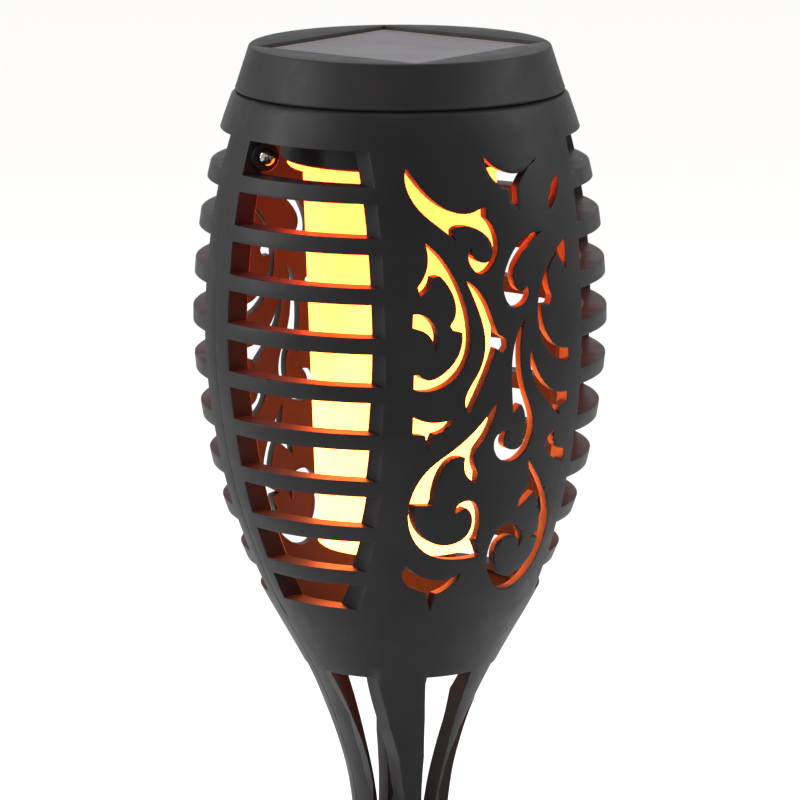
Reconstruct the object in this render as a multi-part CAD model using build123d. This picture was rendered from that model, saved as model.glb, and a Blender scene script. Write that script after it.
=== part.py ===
from build123d import *
from math import cos, radians, sin
import os

# Solar garden torch: a louvred bowl on a plug-together pole with a ground spike.
# Millimetres, +Z up, origin on the torch's axis at ground level, front towards -Y.
# Heights inside the head are given as a drop: the distance below the head's datum plane,
# which lies 1 mm above the cap.
# Angles round the head start at -Y (the front) and grow towards +X.

# Driving sizes
DATUM = 392.0              # height of the head's datum plane above the ground
POLE_R, POLE_BORE_R = 7.5, 6.5
RUNNING_FIT = 0.05         # radial clearance of everything that plugs together
WALL = 2.5                 # wall of the two shells
BAR_DEPTH = 4.8            # how far a louvre bar reaches inwards
PARTING_GAP = 0.1          # each shell stops this far short of the parting plane
SHELL_TOP, SHELL_EDGE = 10.3, 0.5     # drop of the rim that the cap sits on, and its chamfer

# Outside of the head as (drop, radius): the bowl, then the cage legs down to the socket
BOWL_LINE = [(10.3, 34.2), (16.2, 36.3), (25.4, 38.9), (35.7, 40.9), (45.6, 42.0), (55.3, 42.5),
             (65.0, 42.2), (74.3, 41.1), (83.8, 39.4), (93.2, 37.0), (102.1, 33.8), (112.0, 29.5),
             (127.4, 21.0), (134.2, 17.6), (141.0, 14.8), (147.8, 12.5), (154.6, 10.8), (164.0, 9.7),
             (172.0, 9.4)]
# The legs are deeper than the bowl's wall: extra thickness as (drop, extra)
LEG_EXTRA = {127.4: 0.6, 134.2: 1.2, 141.0: 1.6, 147.8: 1.8, 154.6: 1.9, 164.0: 1.8, 172.0: 1.7}

# Louvre windows
WINDOW_TOP, WINDOW_BOTTOM = 17.8, 113.0
WINDOW_SIDE_X = 22.5       # inner side wall, parallel to the mould's draw direction
STRAIGHT_GAPS, SIDE_STEP = 5, 0.5    # below these gaps the side wall steps inwards at each gap
WINDOW_END_DEG = 83.0      # outer side wall, near the parting plane
BAR_ROOT, SIDE_ROOT = 1.2, 3.1       # margins of the deeper wall above, below and beside a window
BAR_COUNT, FIRST_BAR, BAR_PITCH, BAR_HEIGHT = 9, 26.3, 9.93, 3.3

# Socket for the pole
SOCKET_TOP, SOCKET_BOTTOM, SOCKET_R = 172.0, 198.0, 9.4
SOCKET_WEB = 4.0           # web above the pole's end, with a drain hole through it
DRAIN_R = 1.5

# Bayonet between the lamp head and the bowl
RIM_RING_R, RIM_RING_OUTER_R, RIM_RING_BOTTOM = 29.0, 33.2, 12.4
LUG_COUNT, LUG_R, LUG_WIDTH, LUG_TOP, LUG_THICK = 4, 30.4, 8.0, 13.0, 2.0
LUG_START_DEG = 45.0
NOTCH_ROOM, NOTCH_DEPTH, NOTCH_HEIGHT = 0.6, 8.0, 6.0

# Shell screws
BOSS_X, BOSS_DROP, BOSS_R, BOSS_LENGTH = 33.2, 21.3, 3.0, 5.0
BOSS_RECESS_R, BOSS_RECESS_LENGTH = 2.8, 12.0        # cleared through the wall before the boss
SCREW_R, SCREW_HEAD_R, SCREW_HEAD_HEIGHT, SCREW_LENGTH = 1.0, 1.7, 1.4, 9.0
SCREW_ROOM = 0.02
SCREW_HEAD_ROUND, CROSS_LENGTH, CROSS_WIDTH, CROSS_DEPTH = 0.6, 2.0, 0.55, 0.8

# Cap and solar panel
CAP_TOP, CAP_BOTTOM, CAP_CAVITY_DROP = 1.0, 10.2, 4.8
CAP_TOP_R, CAP_BOTTOM_R, CAP_CAVITY_R = 31.0, 33.8, 30.9
CAP_TOP_ROUND, CAP_BOTTOM_ROUND, WIRE_HOLE_R = 0.5, 0.6, 1.6
PANEL_POCKET, PANEL_SIDE, PANEL_SINK, PANEL_THICK = 41.3, 41.1, 0.8, 2.0
PANEL_TURN_DEG = 23.6

# Lamp housing under the cap
DRUM_R, DRUM_BORE_R, DRUM_BOTTOM, DRUM_FLOOR = 24.5, 22.7, 24.0, 1.6
HOUSING_RIM_R, HOUSING_RIM_TOP, HOUSING_RIM_BOTTOM = 28.8, 7.4, 9.4
HOUSING_SCREW_R, HOUSING_SCREWS, HOUSING_SCREW_LENGTH, HOUSING_BOSS_R = 26.6, 3, 4.0, 2.4
FLOOR_HOLE_R = 4.0
SEAL_R, SEAL_WIDTH, SEAL_HEIGHT = 30.6, 1.4, 1.5
CELL_R, CELL_LENGTH, CELL_Y, CELL_DROP = 7.2, 28.7, -4.0, 12.6
CELL_EDGE, BUTTON_R, BUTTON_HEIGHT = 0.4, 2.5, 0.8
CRADLE_LENGTH, CRADLE_WIDTH, CRADLE_TOP = 24.0, 17.0, 13.6
CONTACT_THICK, CONTACT_WIDTH, CONTACT_HEIGHT = 0.4, 9.0, 15.0
COIL_RADII, COIL_WIRE_R, COIL_STEP, COIL_SEAT = (3.6, 3.0, 2.4), 0.32, 0.62, 0.25
BOARD_Y, BOARD_THICK, BOARD_LENGTH, BOARD_TOP = 9.0, 1.6, 30.0, 8.0
CHIP_X, CHIP_DROP, CHIP_SIZE = -8.0, 14.0, (5.0, 1.6, 4.0)
COIL_X, COIL_DROP, COIL_R, COIL_HEIGHT = 2.0, 15.0, 2.5, 3.0
CAPACITOR_X, CAPACITOR_DROP, CAPACITOR_R, CAPACITOR_HEIGHT = 10.0, 13.0, 2.0, 2.5
SWITCH_DROP, SWITCH_TRAVEL, SWITCH_Y, SWITCH_MOUTH_Y = 17.6, 2.0, 20.4, 21.4
SWITCH_SIZE, SWITCH_MOUTH = (9.0, 3.6, 4.6), (5.4, 3.2, 3.2)
THUMB_Y, THUMB_SIZE, THUMB_GROOVE, THUMB_GROOVE_X = 23.1, (2.6, 5.8, 2.4), 0.4, 0.6

# Flame tube and the lamp core inside it
TUBE_TOP_R, TUBE_BOTTOM_R, TUBE_WALL = 20.0, 17.1, 1.4
TUBE_TOP, TUBE_BOTTOM = 25.5, 104.7
TUBE_RIM_R, TUBE_EDGE_ROUND = 23.1, 1.0
CORE_R, CORE_WALL, CORE_BOTTOM = 7.0, 1.4, 96.0
CORE_FLANGE_R, CORE_FLANGE_THICK = 10.0, 1.4
LED_BOARD_TOP, LED_BOARD_BOTTOM = 28.0, 94.0
LED_BOARD_THICK, LED_SIDE, LED_THICK = 0.7, 2.8, 1.0
LED_ROWS, LED_COLUMNS, LED_FIRST_DROP, LED_PITCH, LED_ROW_TURN_DEG = 4, 3, 36.0, 16.0, 30.0

# Pole and ground spike
SPIKE_FLANGE_R, SPIKE_FLANGE_TOP = 14.0, 4.0
SPIKE_LENGTH, SPIKE_SPAN, FIN_THICK = 115.0, 22.0, 2.4
SPIKE_SHOULDER, SPIKE_TIP, FLANGE_EDGE = 20.0, 1.2, 1.0
PEG_LENGTH, PEG_EDGE = 18.0, 0.8
COUPLER_R, COUPLER_BOTTOM, COUPLER_TOP, COUPLER_EDGE = 8.3, 96.0, 100.0, 0.6
POLE_END_GAP = 0.1         # between the upper pole and the socket's web
PEG_R = POLE_BORE_R - RUNNING_FIT

# Scroll cut-outs of the front panel as (x, drop). Each outline starts with one point; every
# further run goes on from the last point, straight to a single point or as a smooth curve
# through several.
SCROLLS = [
    # crest with its curled end
    [[(-16.6, 20.8)], [(-17.1, 23.1), (-16.6, 26.2), (-15.1, 29.0), (-12.6, 31.6), (-8.6, 35.2)],
     [(-8.4, 32.8), (-6.5, 32.4), (-3.0, 33.7), (-0.9, 36.8), (-2.2, 39.8), (-4.4, 39.4), (-5.4, 36.7)],
     [(-6.2, 38.7), (-3.8, 42.0), (-0.6, 39.9), (0.1, 34.6), (-1.9, 31.1)], [(-1.7, 28.9)],
     [(-3.3, 29.4)], [(-7.4, 30.0), (-11.0, 28.4), (-14.2, 25.0), (-16.6, 20.8)]],
    # long leaf with a hooked foot
    [[(-14.6, 35.4)], [(-14.4, 40.1), (-16.4, 44.2)], [(-16.0, 46.0)], [(-14.3, 44.6), (-13.4, 42.3)],
     [(-12.1, 42.0)], [(-9.6, 46.1), (-9.3, 50.0), (-10.4, 52.0)], [(-9.9, 53.0)], [(-8.0, 53.5)],
     [(-8.6, 57.7), (-11.8, 61.8), (-14.4, 63.0), (-16.5, 61.7)], [(-17.3, 61.9)], [(-17.3, 64.8)],
     [(-14.3, 65.2), (-11.0, 64.0), (-7.0, 59.1), (-6.4, 52.4), (-8.2, 45.1), (-11.6, 38.6),
      (-14.6, 35.4)]],
    # half leaf at the panel's edge
    [[(-17.4, 49.6)], [(-17.6, 52.4)], [(-15.0, 53.4), (-13.5, 57.3)],
     [(-12.9, 53.3), (-14.6, 50.4), (-17.4, 49.6)]],
    # centre stem with a thorn
    [[(-6.9, 43.2)], [(-3.4, 46.8), (-1.5, 51.2), (-0.4, 54.3)], [(1.4, 55.4)], [(1.6, 57.1)],
     [(0.7, 58.2)], [(-0.9, 57.1)], [(-2.2, 61.0), (-4.3, 66.0), (-6.1, 70.4)],
     [(-7.0, 66.8), (-4.5, 61.9), (-3.1, 56.3), (-4.3, 49.8), (-6.9, 43.2)]],
    # small fork at the panel's edge
    [[(-17.1, 70.4)], [(-17.0, 74.1)], [(-14.6, 74.4)], [(-13.9, 77.6)], [(-13.3, 75.9), (-12.8, 74.2)],
     [(-10.6, 73.3), (-9.0, 70.9)], [(-12.4, 71.8), (-15.0, 71.5), (-17.1, 70.4)]],
    # big lower volute
    [[(-0.1, 67.9)], [(-1.1, 72.8), (-3.8, 77.5)], [(-4.3, 79.9), (-3.3, 82.8)], [(-3.2, 85.0)],
     [(-5.2, 83.7), (-6.2, 79.4)], [(-8.6, 79.5), (-10.7, 82.2), (-11.5, 88.3)], [(-11.8, 89.4)],
     [(-15.0, 89.3)], [(-13.4, 95.1), (-8.4, 98.3), (-3.9, 96.7), (-3.0, 93.4), (-4.9, 90.2)],
     [(-6.9, 91.4)], [(-6.2, 89.2), (-3.8, 88.9), (-1.5, 92.3), (-1.9, 97.7)], [(0.1, 101.1)],
     [(-5.2, 101.6), (-11.4, 99.8), (-15.3, 94.7), (-16.0, 87.7), (-13.2, 81.5), (-8.6, 77.6),
      (-3.3, 72.5), (-0.1, 67.9)]],
    # bowl-shaped leaf at the foot
    [[(-14.6, 102.4)], [(-11.6, 105.0), (-7.2, 106.2), (-3.3, 104.8)], [(-4.9, 107.6), (-7.7, 109.2)],
     [(-8.0, 112.8)], [(-9.7, 108.9)], [(-13.6, 107.1)], [(-14.9, 104.9), (-14.6, 102.4)]],
    # winged top leaf
    [[(-0.9, 19.2)], [(1.8, 21.7), (4.9, 22.9), (9.9, 21.7)], [(6.8, 24.6), (6.0, 25.6)], [(5.8, 29.5)],
     [(4.4, 28.0), (4.3, 25.8)], [(0.9, 24.0), (-0.9, 19.2)]],
    # sliver at the top right
    [[(17.4, 24.4)], [(16.9, 27.4), (14.0, 31.0)], [(14.6, 27.2), (17.4, 24.4)]],
    # right-hand hook
    [[(11.4, 35.0)], [(6.1, 36.0), (2.0, 41.2), (1.2, 45.6), (3.3, 49.2), (6.2, 48.6), (7.0, 45.3)],
     [(5.0, 46.1), (3.6, 44.0), (5.6, 39.0), (11.4, 35.0)]],
    # edge scroll with a side leaf
    [[(17.7, 37.1)], [(17.7, 43.2)], [(15.4, 39.5)], [(12.3, 43.9), (13.3, 48.1)], [(12.6, 49.6)],
     [(10.3, 49.5)], [(11.3, 54.6), (14.4, 58.2), (18.0, 59.2)], [(18.2, 61.9)],
     [(12.6, 59.4), (9.4, 51.0), (12.0, 42.6), (17.7, 37.1)]],
    # swan-neck stem ending in a curl
    [[(6.0, 52.0)], [(5.0, 59.4), (6.3, 66.4), (8.9, 73.2), (7.5, 79.2), (3.7, 81.2), (0.3, 79.0),
      (0.0, 76.0), (2.9, 74.5)],
     [(2.6, 78.0), (5.5, 78.6), (7.1, 73.6), (5.4, 69.2)], [(3.8, 71.1)],
     [(3.0, 63.3), (3.6, 56.6), (6.0, 52.0)]],
    # forked leaf at the right edge
    [[(7.7, 57.7)], [(10.4, 64.3), (13.9, 67.4), (18.2, 68.3)], [(18.4, 70.4)], [(15.9, 71.1)],
     [(16.2, 73.0)], [(13.3, 70.3), (9.7, 66.4), (7.7, 57.7)]],
    # little hook at the right edge
    [[(15.1, 76.1)], [(15.9, 79.3), (18.8, 80.5)], [(19.0, 82.8)], [(14.7, 81.3), (13.2, 78.9),
      (15.1, 76.1)]],
    # lower right volute with a leaf
    [[(8.8, 81.4)], [(12.7, 86.6), (16.3, 93.4), (16.9, 101.0), (13.2, 107.8), (7.6, 109.7), (3.0, 105.4),
      (2.1, 99.1), (4.3, 95.1), (7.9, 95.6), (9.6, 100.6)],
     [(7.2, 97.6), (4.4, 98.4), (4.1, 103.2), (7.8, 106.9), (12.4, 105.1), (14.7, 99.1)],
     [(12.5, 98.9)], [(14.5, 97.9)], [(13.4, 92.4), (11.2, 88.5)], [(7.5, 91.6)],
     [(7.9, 89.4), (9.7, 86.2), (9.2, 83.6), (8.8, 81.4)]],
]

# Openings between the cage legs as (x, drop), seen along the draw direction
CAGE_MIDDLE = [(-4.3, 129.3), (6.5, 129.3), (5.3, 139.0), (4.3, 149.0), (3.2, 157.0), (1.5, 170.0),
               (0.4, 170.0), (-0.4, 157.0), (-0.9, 148.0), (-2.3, 139.0)]
CAGE_SIDE = [(-13.4, 129.3), (-19.6, 129.3), (-14.6, 139.0), (-11.6, 148.0), (-9.2, 157.0),
             (-7.2, 170.0), (-5.6, 170.0), (-4.0, 157.0), (-6.0, 148.0), (-9.4, 139.0)]
REACH = 60.0               # longer than any cut through the head


def height(drop):
    """Height above the ground of a drop below the datum plane."""
    return DATUM - drop


def place(angle_deg, radius, z):
    """Point at an angle round the head, at a radius and a height."""
    return (radius * sin(radians(angle_deg)), -radius * cos(radians(angle_deg)), z)


def cylinder(radius, top, bottom):
    """Upright cylinder on the axis between two drops."""
    return Pos(0, 0, height((top + bottom) / 2)) * Cylinder(radius, bottom - top)


def ring(outer, inner, top, bottom):
    """Upright ring on the axis between two drops."""
    return cylinder(outer, top, bottom) - cylinder(inner, top - 1, bottom + 1)


def turned(face, degrees_swept=360):
    """Revolve a section in the XZ plane about the head's axis, from +X over the front."""
    return revolve(face, Axis((0, 0, 0), (0, 0, -1)), degrees_swept)


def section(points):
    """Flat section in the XZ plane from straight runs between (radius, drop) points."""
    return make_face(Polyline(*[(r, 0, height(drop)) for r, drop in points], close=True))


def bowl_section(depth):
    """Section of the bowl's wall: the outside line and the same line moved inwards."""
    outer = [(r, 0, height(drop)) for drop, r in BOWL_LINE]
    inner = [(r - depth, 0, z) for r, _, z in outer]
    edges = [Spline(*outer), Line(outer[-1], inner[-1]), Spline(*inner), Line(inner[0], outer[0])]
    return make_face(edges)


def front_prism(points):
    """Prism over a straight-sided outline of (x, drop), reaching from the axis to the front."""
    outline = Polyline(*[(x, 0, height(drop)) for x, drop in points], close=True)
    return extrude(make_face(outline), amount=REACH, dir=(0, -1, 0))


def scroll_prism(runs):
    """Prism over one scroll outline, reaching from the axis to the front."""
    last = runs[0][0]
    edges = []
    for run in runs[1:]:
        points = [(x, 0, height(drop)) for x, drop in [last] + run]
        edges.append(Line(*points) if len(points) == 2 else Spline(*points))
        last = run[-1]
    if last != runs[0][0]:
        edges.append(Line((last[0], 0, height(last[1])), (runs[0][0][0], 0, height(runs[0][0][1]))))
    return extrude(make_face(edges), amount=REACH, dir=(0, -1, 0))


def sector(side, from_x, end_deg, top, bottom):
    """Window space on one side (+1 or -1), from the plane at from_x round to an angle."""
    corner_y = -from_x * cos(radians(end_deg)) / sin(radians(end_deg))
    far_y = -REACH * cos(radians(end_deg)) / sin(radians(end_deg))
    plan = [(from_x, corner_y), (REACH, far_y), (REACH, -REACH), (from_x, -REACH)]
    base = make_face(Polyline(*[(side * x, y, height(bottom)) for x, y in plan], close=True))
    return extrude(base, amount=bottom - top, dir=(0, 0, 1))


def window_gaps(side):
    """The louvre gaps of one window, with a bar left standing between each two."""
    gaps = []
    for i in range(BAR_COUNT + 1):
        top = FIRST_BAR + (i - 1) * BAR_PITCH + BAR_HEIGHT / 2 if i else WINDOW_TOP
        bottom = FIRST_BAR + i * BAR_PITCH - BAR_HEIGHT / 2 if i < BAR_COUNT else WINDOW_BOTTOM
        from_x = WINDOW_SIDE_X - max(0, i - STRAIGHT_GAPS) * SIDE_STEP
        gaps.append(sector(side, from_x, WINDOW_END_DEG, top, bottom))
    return gaps


def inner_core():
    """Space inside the thin wall: all of it, except where bars and end flanges reach deeper."""
    line = [(r - WALL - LEG_EXTRA.get(drop, 0), 0, height(drop)) for drop, r in BOWL_LINE]
    edges = [Spline(*line), Line(line[-1], (0, 0, line[-1][2])),
             Line((0, 0, line[-1][2]), (0, 0, line[0][2])), Line((0, 0, line[0][2]), line[0])]
    core = turned(make_face(edges), 180)
    for side in (-1, 1):
        core -= sector(side, WINDOW_SIDE_X - SIDE_ROOT, 90.0, WINDOW_TOP - BAR_ROOT, WINDOW_BOTTOM + BAR_ROOT)
    return core


def screw_boss(side, bore_r):
    """Boss behind the window's upper outer corner, bored along the draw direction."""
    centre = Pos(side * BOSS_X, -BOSS_LENGTH / 2, height(BOSS_DROP)) * Rot(90, 0, 0)
    return centre * (Cylinder(BOSS_R, BOSS_LENGTH) - Cylinder(bore_r, BOSS_LENGTH + 2))


def make_shell():
    """One of the two identical half shells, the front one."""
    shell = turned(bowl_section(BAR_DEPTH), 180) - inner_core()
    for side in (-1, 1):
        for gap in window_gaps(side):
            shell -= gap
    for runs in SCROLLS:
        shell -= scroll_prism(runs)
    mirrored_side = [(-x, drop) for x, drop in CAGE_SIDE]
    for outline in (CAGE_MIDDLE, CAGE_SIDE, mirrored_side):
        shell -= front_prism(outline)
    shell += turned(section([(RIM_RING_R, SHELL_TOP), (RIM_RING_OUTER_R, SHELL_TOP),
                             (RIM_RING_OUTER_R, RIM_RING_BOTTOM), (RIM_RING_R, RIM_RING_BOTTOM)]), 180)
    top_r = BOWL_LINE[0][1]
    shell -= turned(section([(top_r - SHELL_EDGE, SHELL_TOP), (top_r + 1, SHELL_TOP - 1),
                             (top_r + 1, SHELL_TOP + SHELL_EDGE + 1)]), 180)
    shell += turned(section([(POLE_R + RUNNING_FIT, SOCKET_TOP), (SOCKET_R, SOCKET_TOP),
                             (SOCKET_R, SOCKET_BOTTOM), (POLE_R + RUNNING_FIT, SOCKET_BOTTOM)]), 180)
    shell += turned(section([(DRAIN_R, SOCKET_TOP), (SOCKET_R, SOCKET_TOP),
                             (SOCKET_R, SOCKET_TOP + SOCKET_WEB), (DRAIN_R, SOCKET_TOP + SOCKET_WEB)]), 180)
    for side in (-1, 1):
        recess = Rot(90, 0, 0) * Cylinder(BOSS_RECESS_R, BOSS_RECESS_LENGTH)
        shell -= Pos(side * BOSS_X, 0, height(BOSS_DROP)) * recess
        shell += screw_boss(side, SCREW_R + SCREW_ROOM)
    notch = Pos(0, NOTCH_DEPTH / 2 - LUG_R - NOTCH_ROOM, height(SHELL_TOP))
    notch *= Box(LUG_WIDTH + 2 * NOTCH_ROOM, NOTCH_DEPTH, NOTCH_HEIGHT)
    for i in range(LUG_COUNT):
        shell -= Rot(0, 0, LUG_START_DEG + i * 360 / LUG_COUNT) * notch
    keep = Pos(0, -REACH / 2 - PARTING_GAP, height(SOCKET_BOTTOM / 2))
    return shell & keep * Box(2 * REACH, REACH, 2 * SOCKET_BOTTOM)


def pan_screw(length):
    """Cross-head pan screw pointing along +Y, with its head's seat at the origin."""
    shank = Pos(0, length / 2, 0) * Rot(90, 0, 0) * Cylinder(SCREW_R, length)
    head = Pos(0, -SCREW_HEAD_HEIGHT / 2, 0) * Rot(90, 0, 0) * Cylinder(SCREW_HEAD_R, SCREW_HEAD_HEIGHT)
    head = fillet(head.edges().sort_by(Axis.Y)[0], SCREW_HEAD_ROUND)
    cross = (Box(CROSS_WIDTH, 2 * CROSS_DEPTH, CROSS_LENGTH)
             + Box(CROSS_LENGTH, 2 * CROSS_DEPTH, CROSS_WIDTH))
    return shank + head - Pos(0, -SCREW_HEAD_HEIGHT, 0) * cross


def make_shell_screws():
    """Two screws: one from the front on the left, one from the rear on the right."""
    front = Pos(-BOSS_X, -BOSS_LENGTH, height(BOSS_DROP)) * pan_screw(SCREW_LENGTH)
    return Compound(children=[front, Rot(0, 0, 180) * front])


def make_cap():
    """Round cap with a square pocket for the panel and a hollow underside."""
    body = turned(section([(0, CAP_TOP), (CAP_TOP_R, CAP_TOP), (CAP_BOTTOM_R, CAP_BOTTOM),
                           (CAP_CAVITY_R, CAP_BOTTOM), (CAP_CAVITY_R, CAP_CAVITY_DROP),
                           (0, CAP_CAVITY_DROP)]))
    circles = body.edges().filter_by(GeomType.CIRCLE)
    body = fillet(circles.group_by(Axis.Z)[-1], CAP_TOP_ROUND)
    lip = body.edges().filter_by(GeomType.CIRCLE).group_by(Axis.Z)[0].sort_by(SortBy.RADIUS)[-1]
    body = fillet(lip, CAP_BOTTOM_ROUND)
    depth = PANEL_SINK + PANEL_THICK
    pocket = Pos(0, 0, height(CAP_TOP + depth / 2)) * Box(PANEL_POCKET, PANEL_POCKET, depth)
    body -= Rot(0, 0, PANEL_TURN_DEG) * pocket
    body -= cylinder(WIRE_HOLE_R, CAP_TOP, CAP_CAVITY_DROP + 1)
    boss_length = HOUSING_RIM_TOP - CAP_CAVITY_DROP
    for spot in screw_spots():
        middle = height(CAP_CAVITY_DROP + boss_length / 2)
        body += Pos(*spot, middle) * Cylinder(HOUSING_BOSS_R, boss_length)
        body -= Pos(*spot, middle) * Cylinder(SCREW_R + SCREW_ROOM, boss_length)
    return body


def screw_spots():
    """Plan positions of the housing's screws."""
    return [place(i * 360 / HOUSING_SCREWS, HOUSING_SCREW_R, 0)[:2] for i in range(HOUSING_SCREWS)]


def make_panel():
    """Solar panel: a glass-faced tile."""
    tile = Box(PANEL_SIDE, PANEL_SIDE, PANEL_THICK)
    return Rot(0, 0, PANEL_TURN_DEG) * Pos(0, 0, height(CAP_TOP + PANEL_SINK + PANEL_THICK / 2)) * tile


def make_housing():
    """Round housing under the cap, with bayonet lugs and a slot for the switch."""
    body = ring(HOUSING_RIM_R, DRUM_BORE_R, HOUSING_RIM_TOP, HOUSING_RIM_BOTTOM)
    body += ring(DRUM_R, DRUM_BORE_R, HOUSING_RIM_BOTTOM, DRUM_BOTTOM)
    body += ring(DRUM_BORE_R + 0.5, FLOOR_HOLE_R, DRUM_BOTTOM - DRUM_FLOOR, DRUM_BOTTOM)
    for i in range(LUG_COUNT):
        reach = LUG_R - DRUM_R + 1
        lug = Pos(0, -(LUG_R - reach / 2), height(LUG_TOP + LUG_THICK / 2)) * Box(LUG_WIDTH, reach, LUG_THICK)
        body += Rot(0, 0, LUG_START_DEG + i * 360 / LUG_COUNT) * lug
    body &= cylinder(LUG_R, HOUSING_RIM_TOP, DRUM_BOTTOM)
    hole = Cylinder(SCREW_R + SCREW_ROOM, 2 * HOUSING_SCREW_LENGTH)
    for spot in screw_spots():
        body -= Pos(*spot, height(HOUSING_RIM_BOTTOM)) * hole
    body -= Pos(0, DRUM_R, height(SWITCH_DROP)) * Box(SWITCH_MOUTH[0], 2 * SWITCH_SIZE[1], SWITCH_MOUTH[2])
    return body


def make_housing_screws():
    """Screws that hold the housing up to the cap."""
    screw = Rot(90, 0, 0) * pan_screw(HOUSING_SCREW_LENGTH)
    return Compound(children=[Pos(*spot, height(HOUSING_RIM_BOTTOM)) * screw for spot in screw_spots()])


def make_seal():
    """Square-section sealing ring between the cap and the bowl's rim."""
    return ring(SEAL_R, SEAL_R - SEAL_WIDTH, SHELL_TOP - SEAL_HEIGHT, SHELL_TOP)


def make_cell():
    """Rechargeable cell lying across the housing, with its button at +X."""
    centre = Pos(0, CELL_Y, height(CELL_DROP)) * Rot(0, 90, 0)
    cell = centre * Cylinder(CELL_R, CELL_LENGTH)
    cell = chamfer(cell.edges().filter_by(GeomType.CIRCLE), CELL_EDGE)
    return cell + centre * Pos(0, 0, (CELL_LENGTH + BUTTON_HEIGHT) / 2) * Cylinder(BUTTON_R, BUTTON_HEIGHT)


def make_cradle():
    """Cradle on the housing's floor that carries the cell."""
    bottom = DRUM_BOTTOM - DRUM_FLOOR
    block = Pos(0, CELL_Y, height((CRADLE_TOP + bottom) / 2))
    block *= Box(CRADLE_LENGTH, CRADLE_WIDTH, bottom - CRADLE_TOP)
    trough = Rot(0, 90, 0) * Cylinder(CELL_R + RUNNING_FIT, 2 * CRADLE_LENGTH)
    return block - Pos(0, CELL_Y, height(CELL_DROP)) * trough - cylinder(FLOOR_HOLE_R, CELL_DROP, bottom + 1)


def make_contacts():
    """Spring-steel contact plates at both ends of the cell, with a coil on the minus side."""
    plate = Box(CONTACT_THICK, CONTACT_WIDTH, CONTACT_HEIGHT)
    middle = height(DRUM_BOTTOM - DRUM_FLOOR - CONTACT_HEIGHT / 2)
    near = (CELL_LENGTH + CONTACT_THICK) / 2 + BUTTON_HEIGHT
    far = (CELL_LENGTH + CONTACT_THICK) / 2 + COIL_STEP * len(COIL_RADII) + COIL_WIRE_R
    minus = Pos(-far, CELL_Y, middle) * plate
    for i, radius in enumerate(COIL_RADII):
        x = -far + CONTACT_THICK / 2 + COIL_SEAT + COIL_STEP * i
        minus += Pos(x, CELL_Y, height(CELL_DROP)) * Rot(0, 90, 0) * Torus(radius, COIL_WIRE_R)
    return Compound(children=[Pos(near, CELL_Y, middle) * plate, minus])


def make_board():
    """Upright control board behind the cell."""
    bottom = DRUM_BOTTOM - DRUM_FLOOR
    centre = Pos(0, BOARD_Y + BOARD_THICK / 2, height((BOARD_TOP + bottom) / 2))
    return centre * Box(BOARD_LENGTH, BOARD_THICK, bottom - BOARD_TOP)


def make_board_parts():
    """Controller chip, coil and capacitor on the board's rear face."""
    face = BOARD_Y + BOARD_THICK
    chip = Pos(CHIP_X, face + CHIP_SIZE[1] / 2, height(CHIP_DROP)) * Box(*CHIP_SIZE)
    coil = Pos(COIL_X, face + COIL_HEIGHT / 2, height(COIL_DROP))
    capacitor = Pos(CAPACITOR_X, face + CAPACITOR_HEIGHT / 2, height(CAPACITOR_DROP))
    return Compound(children=[chip, coil * Rot(90, 0, 0) * Cylinder(COIL_R, COIL_HEIGHT),
                              capacitor * Rot(90, 0, 0) * Cylinder(CAPACITOR_R, CAPACITOR_HEIGHT)])


def make_switch_body():
    """Slide switch's case against the inside of the drum, open towards the slot."""
    case = Pos(0, SWITCH_Y, height(SWITCH_DROP)) * Box(*SWITCH_SIZE)
    return case - Pos(0, SWITCH_MOUTH_Y, height(SWITCH_DROP)) * Box(*SWITCH_MOUTH)


def make_switch_slider():
    """Slide switch's ribbed thumb piece, at the off end of its travel."""
    slider = Box(*THUMB_SIZE)
    for x in (-THUMB_GROOVE_X, THUMB_GROOVE_X):
        slider -= Pos(x, THUMB_SIZE[1] / 2, 0) * Box(THUMB_GROOVE, 2 * THUMB_GROOVE, THUMB_SIZE[2])
    return Pos(-SWITCH_TRAVEL / 2, THUMB_Y, height(SWITCH_DROP)) * slider


def make_core():
    """Hollow post that carries the lamp board, closed at its lower end."""
    post = ring(CORE_R, CORE_R - CORE_WALL, DRUM_BOTTOM, CORE_BOTTOM - CORE_WALL)
    return (post + cylinder(CORE_R, CORE_BOTTOM - CORE_WALL, CORE_BOTTOM)
            + ring(CORE_FLANGE_R, CORE_R - CORE_WALL, DRUM_BOTTOM, DRUM_BOTTOM + CORE_FLANGE_THICK))


def make_led_board():
    """Flexible board wrapped round the post."""
    inner = CORE_R + RUNNING_FIT
    return ring(inner + LED_BOARD_THICK, inner, LED_BOARD_TOP, LED_BOARD_BOTTOM)


def make_leds():
    """Surface-mounted lamps in columns round the board."""
    seat = CORE_R + RUNNING_FIT + LED_BOARD_THICK
    lamps = []
    for row in range(LED_ROWS):
        for column in range(LED_COLUMNS):
            angle = column * 360 / LED_COLUMNS + row * LED_ROW_TURN_DEG
            spot = place(angle, seat + LED_THICK / 2, height(LED_FIRST_DROP + row * LED_PITCH))
            lamps.append(Pos(*spot) * Rot(0, 0, angle) * Box(LED_SIDE, LED_THICK, LED_SIDE))
    return Compound(children=lamps)


def make_tube():
    """Translucent flame tube: a tapering cup hung from the housing by its rim."""
    rim_top = DRUM_BOTTOM
    floor = TUBE_BOTTOM - TUBE_WALL
    cup = turned(section([(TUBE_TOP_R - TUBE_WALL, rim_top), (TUBE_RIM_R, rim_top), (TUBE_RIM_R, TUBE_TOP),
                          (TUBE_TOP_R, TUBE_TOP), (TUBE_BOTTOM_R, TUBE_BOTTOM), (0, TUBE_BOTTOM),
                          (0, floor), (TUBE_BOTTOM_R - TUBE_WALL, floor)]))
    return fillet(cup.edges().filter_by(GeomType.CIRCLE).group_by(Axis.Z)[0], TUBE_EDGE_ROUND)


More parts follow.
